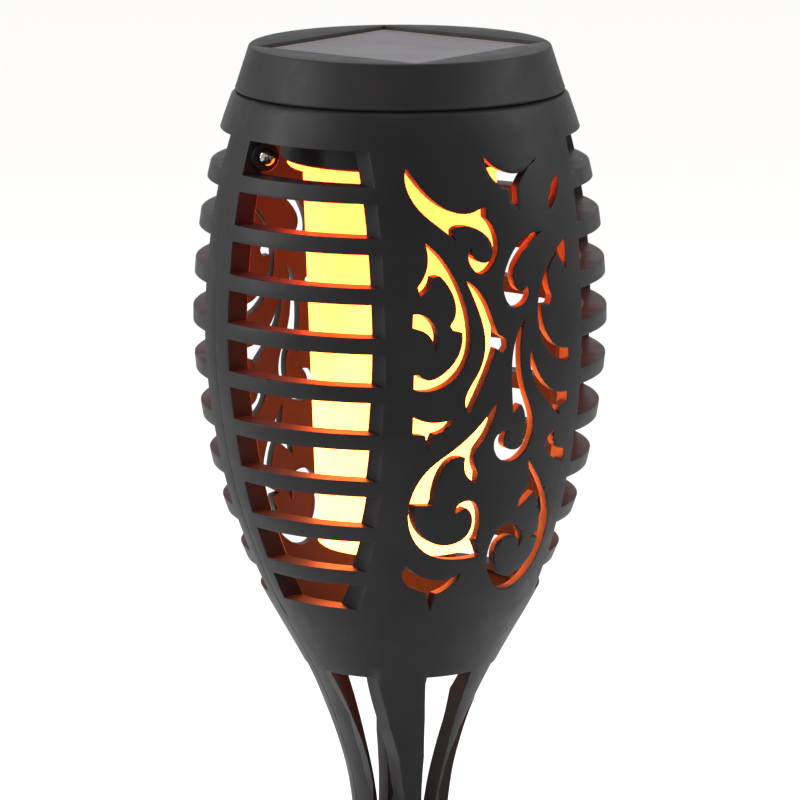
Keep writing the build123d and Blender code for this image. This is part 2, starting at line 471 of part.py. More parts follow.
def pole(top, bottom):
    """Straight pole tube between two heights."""
    length = top - bottom
    return Pos(0, 0, (top + bottom) / 2) * (Cylinder(POLE_R, length) - Cylinder(POLE_BORE_R, length + 2))


def make_coupler():
    """Plug that joins the two poles, with a collar between them."""
    middle, thick = (COUPLER_TOP + COUPLER_BOTTOM) / 2, COUPLER_TOP - COUPLER_BOTTOM
    collar = Pos(0, 0, middle) * Cylinder(COUPLER_R, thick)
    collar = chamfer(collar.edges().filter_by(GeomType.CIRCLE), COUPLER_EDGE)
    peg = Pos(0, 0, middle) * Cylinder(PEG_R, thick + 2 * PEG_LENGTH)
    return collar + chamfer(peg.edges().filter_by(GeomType.CIRCLE), PEG_EDGE)


def make_spike():
    """Cross-finned ground spike with a flange at ground level and a peg for the pole."""
    half, tip = SPIKE_SPAN / 2, SPIKE_TIP / 2
    outline = [(-half, 0), (half, 0), (half, -SPIKE_SHOULDER), (tip, -SPIKE_LENGTH), (-tip, -SPIKE_LENGTH),
               (-half, -SPIKE_SHOULDER)]
    fin = extrude(make_face(Polyline(*[(x, 0, z) for x, z in outline], close=True)),
                  amount=FIN_THICK / 2, dir=(0, 1, 0), both=True)
    spike = fin + Rot(0, 0, 90) * fin
    flange = Pos(0, 0, SPIKE_FLANGE_TOP / 2) * Cylinder(SPIKE_FLANGE_R, SPIKE_FLANGE_TOP)
    spike += chamfer(flange.edges().filter_by(GeomType.CIRCLE).group_by(Axis.Z)[-1], FLANGE_EDGE)
    peg = Pos(0, 0, SPIKE_FLANGE_TOP + PEG_LENGTH / 2) * Cylinder(PEG_R, PEG_LENGTH)
    return spike + chamfer(peg.edges().filter_by(GeomType.CIRCLE).group_by(Axis.Z)[-1], PEG_EDGE)


def main():
    """Build every piece and write one STEP file for each."""
    shell = make_shell()
    pole_top = height(SOCKET_TOP + SOCKET_WEB) - POLE_END_GAP
    pieces = {
        "front_shell": shell,
        "rear_shell": Rot(0, 0, 180) * shell,
        "shell_screws": make_shell_screws(),
        "top_cap": make_cap(),
        "solar_panel": make_panel(),
        "lamp_housing": make_housing(),
        "housing_screws": make_housing_screws(),
        "seal_ring": make_seal(),
        "battery_cell": make_cell(),
        "battery_cradle": make_cradle(),
        "battery_contacts": make_contacts(),
        "control_board": make_board(),
        "board_parts": make_board_parts(),
        "switch_body": make_switch_body(),
        "switch_slider": make_switch_slider(),
        "lamp_core": make_core(),
        "lamp_board": make_led_board(),
        "lamp_leds": make_leds(),
        "flame_tube": make_tube(),
        "pole_upper": pole(pole_top, COUPLER_TOP),
        "pole_coupler": make_coupler(),
        "pole_lower": pole(COUPLER_BOTTOM, SPIKE_FLANGE_TOP),
        "ground_spike": make_spike(),
    }
    os.makedirs("parts", exist_ok=True)
    for name, piece in pieces.items():
        export_step(piece, f"parts/{name}.step")
        print(name, round(piece.volume, 1))


main()
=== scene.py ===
import logging
import math
from dataclasses import dataclass
from enum import Enum
from typing import Callable, Sequence

import bpy
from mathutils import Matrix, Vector


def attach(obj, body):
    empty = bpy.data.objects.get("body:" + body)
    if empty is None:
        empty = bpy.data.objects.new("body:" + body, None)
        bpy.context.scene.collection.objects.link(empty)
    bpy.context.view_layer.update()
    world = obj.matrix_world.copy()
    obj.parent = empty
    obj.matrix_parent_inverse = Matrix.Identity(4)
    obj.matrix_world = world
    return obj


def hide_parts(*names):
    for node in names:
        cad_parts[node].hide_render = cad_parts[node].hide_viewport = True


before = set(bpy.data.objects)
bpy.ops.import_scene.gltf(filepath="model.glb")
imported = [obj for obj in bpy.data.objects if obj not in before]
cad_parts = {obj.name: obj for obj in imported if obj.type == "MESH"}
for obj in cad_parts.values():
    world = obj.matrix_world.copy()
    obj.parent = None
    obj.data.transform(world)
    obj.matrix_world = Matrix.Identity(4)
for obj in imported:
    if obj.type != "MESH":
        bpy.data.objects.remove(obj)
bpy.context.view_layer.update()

MM = 0.001
NEAR = 1e-7     # metres within which a vertex counts as being on a ring
WELD = 2e-6     # metres within which the vertices of a turned section are merged
LOG = logging.getLogger("torch")

SCREW_CIRCLE_R = 26.6              # circle of the three screws that hold the housing to the cap
THIRDS = (0.0, 120.0, 240.0)       # their turns

Point = tuple[float, float, float]
Ring = tuple[float, float]
Colour = tuple[float, float, float, float]


class Body(Enum):
    """The moving bodies of the torch."""

    SPIKE = "spike"
    LOWER_POLE = "lower_pole"
    UPPER_POLE = "upper_pole"
    BOWL = "torch_body"
    SEAL = "seal"
    LAMP = "lamp_head"
    SWITCH = "switch_thumb"


# ---------------------------------------------------------------- colours and shader nodes


def linear(hex_colour: str) -> Colour:
    """Turn an sRGB hex colour into the linear colour that a shader takes.

    Args:
        hex_colour: Six hex digits, red first.

    Returns:
        Linear red, green, blue and an alpha of 1.
    """
    parts = [int(hex_colour[i:i + 2], 16) / 255 for i in (0, 2, 4)]
    r, g, b = (c / 12.92 if c <= 0.04045 else ((c + 0.055) / 1.055) ** 2.4 for c in parts)
    return (r, g, b, 1.0)


def add_node(tree: bpy.types.NodeTree, kind: str, settings: dict | None = None,
             inputs: dict | None = None) -> bpy.types.Node:
    """Add one node with its settings, its input values and its links.

    Args:
        tree: The node tree to add to.
        kind: The node's type name.
        settings: Attributes to set on the node.
        inputs: Values or output sockets, by input name or number.

    Returns:
        The new node.
    """
    node = tree.nodes.new(kind)
    for name, value in (settings or {}).items():
        setattr(node, name, value)
    for name, value in (inputs or {}).items():
        if isinstance(value, bpy.types.NodeSocket):
            tree.links.new(value, node.inputs[name])
        else:
            node.inputs[name].default_value = value
    return node


def colour_ramp(tree: bpy.types.NodeTree, factor: bpy.types.NodeSocket,
                stops: Sequence[tuple[float, Colour]]) -> bpy.types.NodeSocket:
    """Map a value to a colour through a ramp.

    Args:
        tree: The node tree to add to.
        factor: The value that drives the ramp.
        stops: Position and linear colour of each stop.

    Returns:
        The ramp's colour output.
    """
    ramp = add_node(tree, "ShaderNodeValToRGB", inputs={"Fac": factor})
    elements = ramp.color_ramp.elements
    while len(elements) < len(stops):
        elements.new(1.0)
    for element, (position, colour) in zip(elements, stops):
        element.position = position
        element.color = colour
    return ramp.outputs["Color"]


def blank_material(name: str) -> tuple[bpy.types.Material, bpy.types.NodeTree, bpy.types.Node]:
    """Make a material with an empty Principled shader.

    Args:
        name: The material's name.

    Returns:
        The material, its node tree and its Principled node.
    """
    material = bpy.data.materials.new(name)
    material.use_nodes = True
    tree = material.node_tree
    shader = tree.nodes["Principled BSDF"]
    return material, tree, shader


def object_coordinates(tree: bpy.types.NodeTree) -> bpy.types.NodeSocket:
    """Return the Object coordinates, in metres in the torch's frame."""
    return add_node(tree, "ShaderNodeTexCoord").outputs["Object"]


def noise(tree: bpy.types.NodeTree, vector: bpy.types.NodeSocket, size_mm: float,
          detail: float = 2.0, roughness: float = 0.5) -> bpy.types.NodeSocket:
    """Noise whose blobs are about a given size.

    Args:
        tree: The node tree to add to.
        vector: Coordinates in metres.
        size_mm: Size of one blob in millimetres.
        detail: Number of finer layers.
        roughness: Strength of the finer layers.

    Returns:
        The noise value, 0 to 1.
    """
    settings = {"Vector": vector, "Scale": 1.0 / (size_mm * MM), "Detail": detail, "Roughness": roughness}
    return add_node(tree, "ShaderNodeTexNoise", inputs=settings).outputs["Fac"]


def mapped(tree: bpy.types.NodeTree, value: bpy.types.NodeSocket, low: float, high: float,
           from_low: float = 0.3, from_high: float = 0.7) -> bpy.types.NodeSocket:
    """Stretch a value to a new range.

    Args:
        tree: The node tree to add to.
        value: The value to stretch.
        low: Result at from_low.
        high: Result at from_high.
        from_low: Start of the incoming range.
        from_high: End of the incoming range.

    Returns:
        The stretched value.
    """
    node = add_node(tree, "ShaderNodeMapRange", inputs={
        "Value": value, "From Min": from_low, "From Max": from_high, "To Min": low, "To Max": high})
    return node.outputs["Result"]


def blotches(tree: bpy.types.NodeTree, value: bpy.types.NodeSocket, dark: str,
             light: str) -> bpy.types.NodeSocket:
    """Shift a colour between two near shades by a noise value.

    Args:
        tree: The node tree to add to.
        value: The noise value.
        dark: sRGB hex of the darker shade.
        light: sRGB hex of the lighter shade.

    Returns:
        The colour.
    """
    return colour_ramp(tree, value, [(0.3, linear(dark)), (0.7, linear(light))])


def bump(tree: bpy.types.NodeTree, height: bpy.types.NodeSocket, depth_mm: float,
         strength: float = 1.0) -> bpy.types.NodeSocket:
    """Bump a surface by a height map.

    Args:
        tree: The node tree to add to.
        height: The height map, 0 to 1.
        depth_mm: Depth of the full range in millimetres.
        strength: Share of the effect.

    Returns:
        The bumped normal.
    """
    inputs = {"Height": height, "Distance": depth_mm * MM, "Strength": strength}
    return add_node(tree, "ShaderNodeBump", inputs=inputs).outputs["Normal"]


def maths(tree: bpy.types.NodeTree, operation: str, first: bpy.types.NodeSocket,
          second: bpy.types.NodeSocket | float | None = None) -> bpy.types.NodeSocket:
    """Work out one step of arithmetic on a socket.

    Args:
        tree: The node tree to add to.
        operation: The step's name.
        first: The value it works on.
        second: The other value, where the step takes one.

    Returns:
        The result.
    """
    inputs = {0: first} if second is None else {0: first, 1: second}
    return add_node(tree, "ShaderNodeMath", {"operation": operation}, inputs).outputs[0]


# ---------------------------------------------------------------- finishes


@dataclass(frozen=True)
class MouldedAbs:
    """Black ABS from a spark-eroded mould: satin, with a fine grain and soft flow shading."""

    name: str = "ABS_moulded_satin"
    dark: str = "121113"
    light: str = "1b191a"
    roughness: float = 0.46
    specular: float = 0.09
    grain_mm: float = 0.35
    flow_mm: float = 22.0
    scuff_mm: float = 6.0
    grain_depth_mm: float = 0.012
    ior: float = 1.53

    def build(self) -> bpy.types.Material:
        """Make the material: grain gives broad dull highlights, the flow shading breaks up the black.

        Returns:
            The material.
        """
        material, tree, shader = blank_material(self.name)
        place = object_coordinates(tree)
        flow = noise(tree, place, self.flow_mm, 3.0, 0.6)
        grain = noise(tree, place, self.grain_mm, 2.0, 0.6)
        scuff = noise(tree, place, self.scuff_mm, 4.0, 0.7)
        shader.inputs["IOR"].default_value = self.ior
        shader.inputs["Specular IOR Level"].default_value = self.specular
        tree.links.new(blotches(tree, flow, self.dark, self.light), shader.inputs["Base Color"])
        tree.links.new(mapped(tree, scuff, self.roughness - 0.05, self.roughness + 0.07),
                       shader.inputs["Roughness"])
        tree.links.new(bump(tree, grain, self.grain_depth_mm, 0.6), shader.inputs["Normal"])
        return material


@dataclass(frozen=True)
class NickelScrew:
    """Steel screw with bright nickel plate: mirror-like, with faint drawing marks."""

    name: str = "steel_nickel_plated"
    dark: str = "8d887d"
    light: str = "b3aea2"
    mark_mm: float = 0.3
    mark_depth_mm: float = 0.004

    def build(self) -> bpy.types.Material:
        """Make the material: slightly warm metal whose fine marks spread the highlight.

        Returns:
            The material.
        """
        material, tree, shader = blank_material(self.name)
        marks = noise(tree, object_coordinates(tree), self.mark_mm, 3.0, 0.6)
        shader.inputs["Metallic"].default_value = 1.0
        tree.links.new(blotches(tree, marks, self.dark, self.light), shader.inputs["Base Color"])
        tree.links.new(mapped(tree, marks, 0.12, 0.2), shader.inputs["Roughness"])
        tree.links.new(bump(tree, marks, self.mark_depth_mm, 0.5), shader.inputs["Normal"])
        return material


@dataclass(frozen=True)
class LitFlameTube:
    """Frosted polypropylene tube lit from inside: near white low down, amber under its rim."""

    name: str = "polypropylene_frosted_lit"
    bottom_z: float = 287.3
    top_z: float = 366.5
    lick_mm: float = 16.0
    lick_stretch: float = 0.35
    lick_sway: float = 0.16
    frost_mm: float = 0.5
    frost_depth_mm: float = 0.01
    plastic: str = "c9a04a"
    strength: float = 20.0
    # Red far above green and blue: the eye sees pale yellow, and the black walls catch orange.
    glow: tuple[tuple[float, Colour], ...] = (
        (0.0, (1.0, 0.15, 0.031, 1.0)),
        (0.3, (1.0, 0.14, 0.024, 1.0)),
        (0.55, (1.0, 0.11, 0.013, 1.0)),
        (0.8, (1.0, 0.072, 0.0085, 1.0)),
        (1.0, (0.95, 0.055, 0.0075, 1.0)))

    def build(self) -> bpy.types.Material:
        """Make the material: the light glows through, with soft flame licks that rise and fade.

        Returns:
            The material.
        """
        material, tree, shader = blank_material(self.name)
        place = object_coordinates(tree)
        split = add_node(tree, "ShaderNodeSeparateXYZ", inputs={"Vector": place})
        stretched = add_node(tree, "ShaderNodeMapping",
                             inputs={"Vector": place, "Scale": (1.0, 1.0, self.lick_stretch)})
        licks = noise(tree, stretched.outputs["Vector"], self.lick_mm, 1.5, 0.45)
        rise = mapped(tree, split.outputs["Z"], 0.0, 1.0, self.bottom_z * MM, self.top_z * MM)
        level = maths(tree, "ADD", rise, mapped(tree, licks, -self.lick_sway, self.lick_sway))
        shader.inputs["Base Color"].default_value = linear(self.plastic)
        shader.inputs["Roughness"].default_value = 0.45
        shader.inputs["Emission Strength"].default_value = self.strength
        tree.links.new(colour_ramp(tree, level, self.glow), shader.inputs["Emission Color"])
        frost = noise(tree, place, self.frost_mm, 2.0)
        tree.links.new(bump(tree, frost, self.frost_depth_mm, 0.5), shader.inputs["Normal"])
        return material


@dataclass(frozen=True)
class SolarFace:
    """Laminated silicon under satin epoxy: grey with faint fingers, darker at the strip gaps."""

    name: str = "silicon_epoxy_laminated"
    turn_deg: float = 23.6
    strip_mm: float = 10.1
    strip_gap: float = 0.035
    finger_mm: float = 1.25
    finger_width: float = 0.10
    blotch_mm: float = 14.0
    ripple_mm: float = 9.0
    ripple_depth_mm: float = 0.03
    silicon: tuple[str, str] = ("4d4a4e", "575459")
    silver: str = "b4b1b6"
    gap: str = "5c5a60"

    def build(self) -> bpy.types.Material:
        """Make the material: thin silver fingers and strip gaps under a clear satin coat.

        Returns:
            The material.
        """
        material, tree, shader = blank_material(self.name)
        place = object_coordinates(tree)
        turned = add_node(tree, "ShaderNodeMapping",
                          inputs={"Vector": place, "Rotation": (0.0, 0.0, -math.radians(self.turn_deg))})
        split = add_node(tree, "ShaderNodeSeparateXYZ", inputs={"Vector": turned.outputs["Vector"]})
        colour = blotches(tree, noise(tree, place, self.blotch_mm, 3.0, 0.55), *self.silicon)
        for channel, pitch, width, share, ink in (("X", self.finger_mm, self.finger_width, 0.22, self.silver),
                                                  ("Y", self.strip_mm, self.strip_gap, 0.5, self.gap)):
            cells = maths(tree, "MULTIPLY", split.outputs[channel], 1.0 / (pitch * MM))
            line = maths(tree, "LESS_THAN", maths(tree, "FRACT", cells), width)
            mix = add_node(tree, "ShaderNodeMix", {"data_type": "RGBA"},
                           {0: maths(tree, "MULTIPLY", line, share), 6: colour, 7: linear(ink)})
            colour = mix.outputs[2]
        tree.links.new(colour, shader.inputs["Base Color"])
        shader.inputs["Roughness"].default_value = 0.55
        shader.inputs["Specular IOR Level"].default_value = 0.06
        shader.inputs["Coat Weight"].default_value = 0.03
        shader.inputs["Coat Roughness"].default_value = 0.3
        ripple = noise(tree, place, self.ripple_mm, 1.0)
        tree.links.new(bump(tree, ripple, self.ripple_depth_mm, 0.4), shader.inputs["Normal"])
        return material


@dataclass(frozen=True)
class PlainPart:
    """Any small moulded, printed or cut part: one base colour, broken up by a fine grain."""

    name: str
    dark: str
    light: str
    roughness: float = 0.5
    metallic: float = 0.0
    grain_mm: float = 0.6
    grain_depth_mm: float = 0.01
    blotch_mm: float = 5.0

    def build(self) -> bpy.types.Material:
        """Make the material: blotches shift the colour a little, grain dulls the highlight.

        Returns:
            The material.
        """
        material, tree, shader = blank_material(self.name)
        place = object_coordinates(tree)
        blotch = noise(tree, place, self.blotch_mm, 3.0, 0.6)
        tree.links.new(blotches(tree, blotch, self.dark, self.light), shader.inputs["Base Color"])
        tree.links.new(mapped(tree, blotch, self.roughness - 0.05, self.roughness + 0.05),
                       shader.inputs["Roughness"])
        shader.inputs["Metallic"].default_value = self.metallic
        grain = noise(tree, place, self.grain_mm, 2.0, 0.6)
        tree.links.new(bump(tree, grain, self.grain_depth_mm, 0.6), shader.inputs["Normal"])
        return material


@dataclass(frozen=True)
class LitLens:
    """Silicone lamp lens, lit: a small amber lamp."""

    name: str = "silicone_lens_lit"
    dark: str = "ffb347"
    light: str = "ffd27a"
    blotch_mm: float = 2.0
    strength: float = 4.0

    def build(self) -> bpy.types.Material:
        """Make the material: amber light, a little uneven as it comes through the silicone.

        Returns:
            The material.
        """
        material, tree, shader = blank_material(self.name)
        tint = blotches(tree, noise(tree, object_coordinates(tree), self.blotch_mm), self.dark, self.light)
        tree.links.new(tint, shader.inputs["Base Color"])
        tree.links.new(tint, shader.inputs["Emission Color"])
        shader.inputs["Emission Strength"].default_value = self.strength
        shader.inputs["Roughness"].default_value = 0.3
        return material


class Finishes:
    """Every finish on the torch, made once."""

    def __init__(self) -> None:
        """Make the materials."""
        self.shell = MouldedAbs().build()
        self.cap = MouldedAbs("ABS_moulded_cap", "131213", "1b191a", 0.5, 0.09).build()
        self.pole = MouldedAbs("ABS_extruded_pole", "111112", "181718", 0.42, 0.1, 0.5, 40.0).build()
        self.inner = MouldedAbs("ABS_moulded_plain", "111011", "191818", 0.5, 0.14, 0.8, 12.0).build()
        self.screw = NickelScrew().build()
        self.tube = LitFlameTube().build()
        self.solar = SolarFace().build()
        self.tile_rim = PlainPart("phenolic_laminate_edge", "54443d", "66534a", 0.6).build()
        self.lens = LitLens().build()
        self.rubber = PlainPart("silicone_moulded_seal", "0b0b0c", "131314", 0.7).build()
        self.wrap = PlainPart("PVC_shrink_wrap", "1f5a34", "2a6d40", 0.3, 0.0, 0.8, 0.01, 9.0).build()
        self.nickel = PlainPart("spring_steel_nickel_plated", "a9a59b", "cfcbc0", roughness=0.3, metallic=1.0,
                                grain_mm=0.3, grain_depth_mm=0.004).build()
        self.laminate = PlainPart("FR4_solder_masked", "0d3a1e", "14502b", 0.35, 0.0, 0.9, 0.02).build()
        self.epoxy = PlainPart("epoxy_moulded_black", "141416", "1f1f22", 0.6).build()
        self.nylon = PlainPart("nylon_moulded_grey", "2b2a2a", "3a3838", 0.5).build()
        self.post = PlainPart("ABS_moulded_white", "cfc9b8", "dfdac9", 0.5).build()
        self.film = PlainPart("polyimide_film_white", "d5cfbd", "e3decd", 0.45).build()


# ---------------------------------------------------------------- the modelling bench


class Bench:
    """The hand tools that shape new pieces."""

    @staticmethod
    def clear() -> None:
        """Go to object mode with nothing selected."""
        if bpy.context.object and bpy.context.object.mode != "OBJECT":
            bpy.ops.object.mode_set(mode="OBJECT")
        bpy.ops.object.select_all(action="DESELECT")

    @staticmethod
    def take(obj: bpy.types.Object) -> None:
        """Make one object the only selected and active one.

        Args:
            obj: The object to work on.
        """
        Bench.clear()
        obj.select_set(True)
        bpy.context.view_layer.objects.active = obj

    @staticmethod
    def edit(obj: bpy.types.Object, kind: str = "FACE") -> None:
        """Open an object in edit mode with all of it selected.

        Args:
            obj: The object to open.
            kind: VERT, EDGE or FACE.
        """
        Bench.take(obj)
        bpy.ops.object.mode_set(mode="EDIT")
        bpy.ops.mesh.select_mode(type=kind)
        bpy.ops.mesh.select_all(action="SELECT")

    @staticmethod
    def pick(obj: bpy.types.Object, kind: str, test: Callable[[Vector, Vector], bool]) -> int:
        """Select, in edit mode, what passes a test of its centre and normal.

        Args:
            obj: The object being edited.
            kind: VERT or FACE.
            test: Takes the centre and the normal, in metres.

        Returns:
            How many were selected.
        """
        bpy.ops.object.mode_set(mode="OBJECT")
        for items in (obj.data.vertices, obj.data.edges, obj.data.polygons):
            for item in items:
                item.select = False
        count = 0
        items = obj.data.vertices if kind == "VERT" else obj.data.polygons
        for item in items:
            centre = item.co if kind == "VERT" else item.center
            if test(centre, item.normal):
                item.select = True
                count += 1
        bpy.ops.object.mode_set(mode="EDIT")
        bpy.ops.mesh.select_mode(type=kind)
        return count

    @staticmethod
    def modify(obj: bpy.types.Object, kind: str, **settings: object) -> None:
        """Add a modifier and apply it.

        Args:
            obj: The object that takes it.
            kind: The modifier's type.
            settings: Its settings.
        """
        Bench.take(obj)
        modifier = obj.modifiers.new(kind.title(), kind)
        for name, value in settings.items():
            setattr(modifier, name, value)
        bpy.ops.object.modifier_apply(modifier=modifier.name)

    @staticmethod
    def soften(obj: bpy.types.Object, width_mm: float, segments: int = 2, angle_deg: float = 35.0,
               clamp: bool = True) -> None:
        """Round every edge sharper than an angle.

        Args:
            obj: The object to soften.
            width_mm: Width of the rounding.
            segments: Steps across it.
            angle_deg: Edges sharper than this are rounded.
            clamp: Hold the width back where edges are short.
        """
        Bench.modify(obj, "BEVEL", width=width_mm * MM, segments=segments, limit_method="ANGLE",
                     angle_limit=math.radians(angle_deg), use_clamp_overlap=clamp)

    @staticmethod
    def cut(obj: bpy.types.Object, cutter: bpy.types.Object) -> None:
        """Cut one object with another, which is used up."""
        Bench.modify(obj, "BOOLEAN", operation="DIFFERENCE", object=cutter, solver="EXACT")
        bpy.data.objects.remove(cutter)

    @staticmethod
    def smooth(obj: bpy.types.Object, angle_deg: float = 30.0) -> None:
        """Shade smooth, with edges kept sharp beyond an angle."""
        Bench.take(obj)
        bpy.ops.object.shade_smooth_by_angle(angle=math.radians(angle_deg))

    @staticmethod
    def settle(obj: bpy.types.Object) -> None:
        """Move an object's place, turn and size into its mesh."""
        Bench.take(obj)
        bpy.ops.object.transform_apply(location=True, rotation=True, scale=True)

    @staticmethod
    def block(name: str, size_mm: Point, centre_mm: Point) -> bpy.types.Object:
        """A box of a size at a place, ready to be shaped.

        Args:
            name: Name of the box.
            size_mm: Its width, depth and height.
            centre_mm: Its middle.

        Returns:
            The box.
        """
        Bench.clear()
        bpy.ops.mesh.primitive_cube_add(size=1.0, location=[c * MM for c in centre_mm])
        obj = bpy.context.object
        obj.name = name
        obj.scale = [s * MM for s in size_mm]
        Bench.settle(obj)
        return obj

    @staticmethod
    def lathe(name: str, rings: Sequence[Ring], segments: int = 96, closed: bool = False) -> bpy.types.Object:
        """Turn a section on the vertical axis: a circle extruded and resized from ring to ring.

        Args:
            name: Name of the object.
            rings: Radius and height of each ring, in millimetres. A radius of 0 at an end is a pole.
            segments: Faces round the axis.
            closed: Join the last ring to the first, for a hollow section.

        Returns:
            The turned object.
        """
        Bench.clear()
        start = 1 if rings[0][0] == 0 else 0
        radius, height = rings[start]
        bpy.ops.mesh.primitive_circle_add(vertices=segments, radius=radius * MM,
                                          location=(0, 0, height * MM), fill_type="NOTHING")
        obj = bpy.context.object
        obj.name = name
        Bench.settle(obj)
        Bench.edit(obj, "EDGE")
        path = list(rings[start + 1:]) + ([rings[0]] if closed else [])
        Bench._draw_rings(radius, height, path)
        if start:
            Bench.pick(obj, "VERT", lambda c, n: abs(c.z - height * MM) < NEAR
                       and abs(math.hypot(c.x, c.y) - radius * MM) < NEAR * 10)
            bpy.ops.mesh.select_mode(type="EDGE")
            Bench._draw_rings(radius, height, [rings[0]])
        Bench.edit(obj)
        bpy.ops.mesh.remove_doubles(threshold=WELD)
        bpy.ops.mesh.normals_make_consistent(inside=False)
        bpy.ops.object.mode_set(mode="OBJECT")
        return obj

    @staticmethod
    def rod(name: str, radius: float, low: float, high: float, segments: int) -> bpy.types.Object:
        """Turn a plain round rod on the vertical axis, for cutting a hole.

        Args:
            name: Name of the object.
            radius: Its radius in millimetres.
            low: Height of its lower end.
            high: Height of its upper end.
            segments: Faces round the axis.

        Returns:
            The rod.
        """
        return Bench.lathe(name, [(0, low), (radius, low), (radius, high), (0, high)], segments)

    @staticmethod
    def ring_of(obj: bpy.types.Object, turns_deg: Sequence[float]) -> list[bpy.types.Object]:
        """Copy an object to several places round the vertical axis and remove the first one.

        Args:
            obj: The object, which is used up.
            turns_deg: Turn of each copy.

        Returns:
            The copies.
        """
        twins = []
        for turn in turns_deg:
            twin = Bench.copy(obj, obj.name + "_copy")
            Bench.place(twin, turn_deg=(0, 0, turn))
            twins.append(twin)
        bpy.data.objects.remove(obj)
        return twins

    @staticmethod
    def _draw_rings(radius: float, height: float, path: Sequence[Ring]) -> None:
        """Extrude the selected ring along a path of rings, down to a pole where the radius is 0.

        Args:
            radius: Radius of the selected ring.
            height: Height of the selected ring.
            path: Radius and height of each next ring.
        """
        for next_radius, next_height in path:
            bpy.ops.mesh.extrude_edges_move(
                TRANSFORM_OT_translate={"value": (0, 0, (next_height - height) * MM)})
            if next_radius == 0:
                bpy.ops.mesh.merge(type="CENTER")
                return
            grow = next_radius / radius
            if abs(grow - 1) > 1e-9:
                bpy.ops.transform.resize(value=(grow, grow, 1), center_override=(0, 0, next_height * MM))
            radius, height = next_radius, next_height

    @staticmethod
    def twin_of_node(node: str, name: str) -> bpy.types.Object:
        """Copy a CAD node's mesh into a new, free object.

        Args:
            node: The CAD node.
            name: Name of the copy.

        Returns:
            The copy.
        """
        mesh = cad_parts[node].data.copy()
        mesh.materials.clear()
        twin = bpy.data.objects.new(name, mesh)
        bpy.context.scene.collection.objects.link(twin)
        return twin

    @staticmethod
    def copy(obj: bpy.types.Object, name: str) -> bpy.types.Object:
        """Copy an object with its own mesh.

        Args:
            obj: The object to copy.
            name: Name of the copy.

        Returns:
            The copy.
        """
        Bench.take(obj)
        bpy.ops.object.duplicate(linked=False)
        twin = bpy.context.object
        twin.name = name
        return twin

    @staticmethod
    def join(parts: Sequence[bpy.types.Object], name: str) -> bpy.types.Object:
        """Join objects into one.

        Args:
            parts: The objects, the first of which takes the others in.
            name: Name of the joined object.

        Returns:
            The joined object.
        """
        Bench.clear()
        for part in parts:
            part.select_set(True)
        bpy.context.view_layer.objects.active = parts[0]
        if len(parts) > 1:
            bpy.ops.object.join()
        parts[0].name = name
        return parts[0]

    @staticmethod
    def place(obj: bpy.types.Object, move_mm: Point = (0, 0, 0), turn_deg: Point = (0, 0, 0)) -> None:
        """Turn an object about its origin, then move it, and keep both in the mesh.

        Args:
            obj: The object.
            move_mm: How far it moves.
            turn_deg: Turn about each axis.
        """
        obj.rotation_euler = [math.radians(angle) for angle in turn_deg]
        obj.location = [m * MM for m in move_mm]
        Bench.settle(obj)


def faces_up(centre: Vector, normal: Vector) -> bool:
    """Tell whether a face looks up, wherever its centre is."""
    return normal.z > 0.9


def faces_down(centre: Vector, normal: Vector) -> bool:
    """Tell whether a face looks down, wherever its centre is."""
    return normal.z < -0.9


def arc(centre: Ring, radius: float, start_deg: float, end_deg: float, steps: int = 6) -> list[Ring]:
    """Points on a round corner of a turned section.

    Args:
        centre: Radius and height of the corner's centre.
        radius: The corner's radius.
        start_deg: Where the arc starts, from the outward direction upwards.
        end_deg: Where it ends.
        steps: Number of straight steps.

    Returns:
        Radius and height of each point.
    """
    angles = [math.radians(start_deg + (end_deg - start_deg) * i / steps) for i in range(steps + 1)]
    return [(centre[0] + radius * math.cos(a), centre[1] + radius * math.sin(a)) for a in angles]


def deliver(obj: bpy.types.Object, body: Body, slot: str, *nodes: str,
            finish: bpy.types.Material | None = None) -> bpy.types.Object:
    """Put a finished new piece on its body and hide the CAD nodes it stands for.

    Args:
        obj: The piece.
        body: The body it rides on.
        slot: The record's material slot; not used.
        nodes: CAD nodes it replaces.
        finish: Its material, where it has only one.

    Returns:
        The piece.
    """
    if finish is not None:
        obj.data.materials.clear()
        obj.data.materials.append(finish)
    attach(obj, body.value)
    if nodes:
        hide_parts(*nodes)
    LOG.info("%s: %d faces on %s", obj.name, len(obj.data.polygons), body.value)
    return obj


# ---------------------------------------------------------------- the bowl


